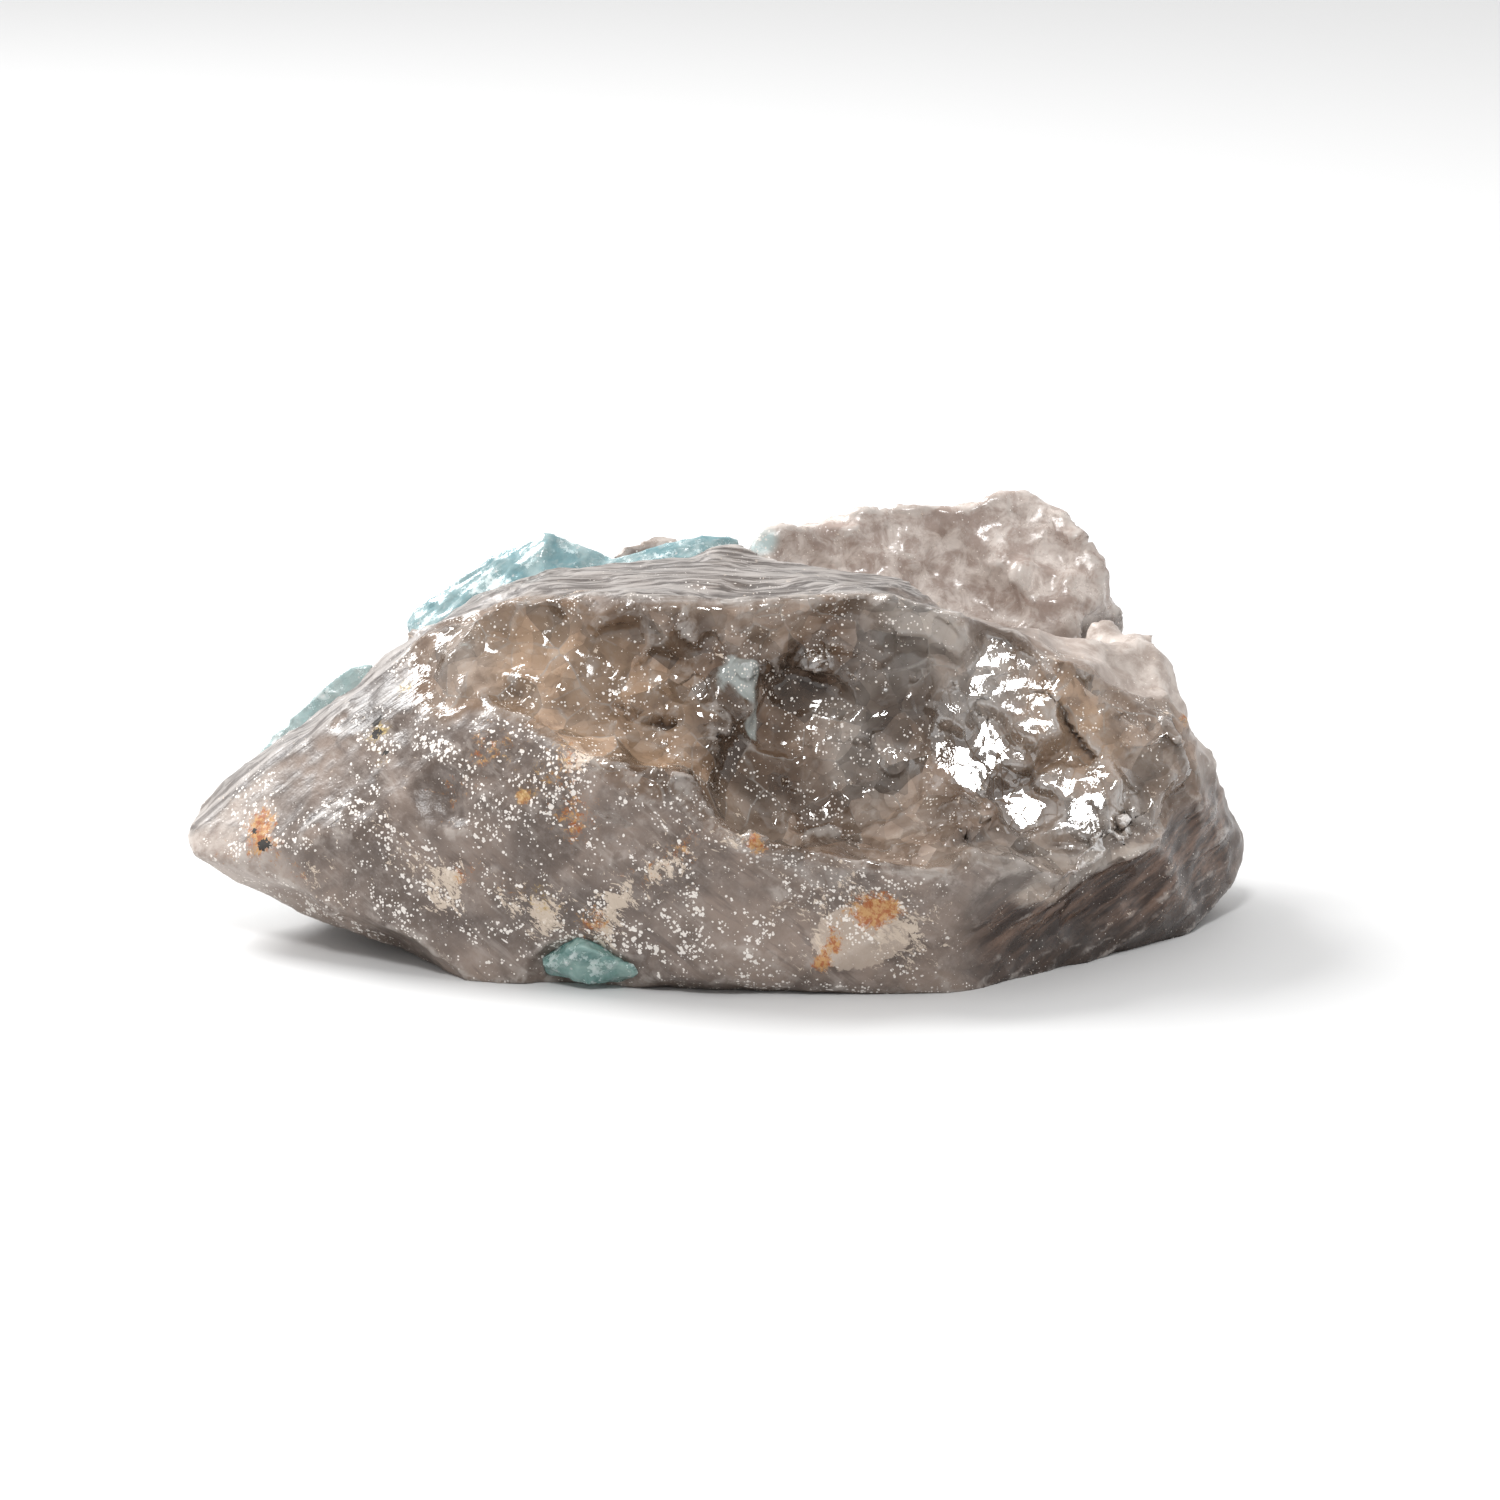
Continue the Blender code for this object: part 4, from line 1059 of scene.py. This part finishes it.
def aquamarine_material(name, deep, light, frost_share):
    g = Graph(name)
    clouds = g.noise(3.0, 4, 0.65, 0.5)
    colour = g.mix(g.step(clouds, 0.35, 0.65), deep, light)
    lines = g.noise(0.6, 3, 0.6, at=g.drawn_out((9, 1, 1), -37))
    colour = g.mix(g.step(lines, 0.52, 0.72, 0, 0.5), colour, (0.70, 0.80, 0.80))
    frost = g.step(g.noise(1.6, 4, 0.78), 0.5, 0.68, 0, frost_share)
    colour = g.mix(frost, colour, (0.80, 0.84, 0.83))
    specks = g.math("LESS_THAN", g.cells(0.9), 0.13)
    colour = g.mix(g.product(specks, 0.7), colour, (0.85, 0.87, 0.86))
    g.fill(
        g.shade,
        Base_Color=colour,
        Transmission_Weight=g.step(frost, 0, 0.8, 0.45, 0.1),
        IOR=BERYL_IOR,
        Roughness=g.step(frost, 0, 0.8, 0.22, 0.6),
        Normal=g.bump(lines, 0.1, 0.5, g.bump(g.noise(0.5, 2, 0.75), 0.06, 0.6)),
    )
    g.absorb((0.55, 0.82, 0.85), 40)
    return g.material


def plain_material(name, colour, roughness):
    g = Graph(name)
    g.fill(g.shade, Base_Color=(*colour, 1), Roughness=roughness)
    return g.material


def dress(obj, node, material):
    for polygon in obj.data.polygons:
        polygon.use_smooth = True
    obj.name = node + "_look"
    obj.data.materials.clear()
    obj.data.materials.append(material)
    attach(obj, "root")
    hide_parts(node)


def make_floor():
    shape = bmesh.new()
    bmesh.ops.create_grid(shape, x_segments=1, y_segments=1, size=3)
    floor = finished("floor", shape)
    floor.data.materials.append(plain_material("floor_look", (FLOOR_GREY,) * 3, 0.7))


def make_light(name, way, size, power):
    """A square soft white light that shines on the stone along the way."""
    data = bpy.data.lights.new(name, "AREA")
    data.shape, data.size, data.energy = "SQUARE", size, power
    lamp = new_object(name, data)
    towards = Vector(way).normalized()
    lamp.location = Vector((0, 0, 0.014)) + towards * LAMPS_AWAY
    lamp.rotation_mode = "QUATERNION"
    lamp.rotation_quaternion = towards.to_track_quat("Z", "Y")


def make_camera():
    target = (Vector((2.66, 0, 14.15)) - Vector(MIDDLE)) * MM
    back = Vector((0, -math.cos(ELEVATION), math.sin(ELEVATION)))
    data = bpy.data.cameras.new("camera")
    data.lens = LENS
    data.clip_start, data.clip_end = 0.01, 20
    camera = new_object("camera", data)
    camera.location = target + back * (PHOTO_WIDTH * LENS / data.sensor_width * PIXEL * MM)
    camera.rotation_mode = "QUATERNION"
    camera.rotation_quaternion = (-back).to_track_quat("-Z", "Y")
    bpy.context.scene.camera = camera


def make_studio():
    world = bpy.data.worlds.new("studio")
    world.use_nodes = True
    nodes, links = world.node_tree.nodes, world.node_tree.links
    way = nodes.new("ShaderNodeSeparateXYZ")
    links.new(nodes.new("ShaderNodeTexCoord").outputs["Generated"], way.inputs[0])
    behind = nodes.new("ShaderNodeMapRange")
    behind.interpolation_type = "SMOOTHSTEP"
    for index, number in enumerate((-0.75, 0.1, FRONT_GLOW, BACK_GLOW), 1):
        behind.inputs[index].default_value = number
    links.new(way.outputs["Y"], behind.inputs["Value"])
    links.new(behind.outputs[0], nodes["Background"].inputs["Strength"])
    nodes["Background"].inputs["Color"].default_value = (1, 1, 1, 1)
    bpy.context.scene.world = world
    make_light("key", (-0.58, 0.4, 0.71), 0.25, 4.4)
    make_light("sparkle", (-0.1, -0.62, 0.78), 0.1, 1.6)
    bpy.context.scene.view_settings.view_transform = "Standard"
    make_floor()
    make_camera()


def main():
    quartz = fine_quartz()
    mark_quartz(quartz)
    settled(quartz)
    dress(quartz, "quartz", quartz_material())
    blues = {
        "aquamarine_lower": ((0.48, 0.66, 0.66), (0.66, 0.78, 0.77), 0.75),
        "aquamarine_upper": ((0.22, 0.42, 0.46), (0.46, 0.62, 0.63), 0.75),
        "aquamarine_base": ((0.10, 0.27, 0.25), (0.40, 0.60, 0.55), 0.6),
    }
    for node, shapes in CRYSTALS.items():
        gem = fine_crystal(node + "_look", shapes)
        settled(gem)
        dress(gem, node, aquamarine_material(node + "_look", *blues[node]))
    make_studio()


main()
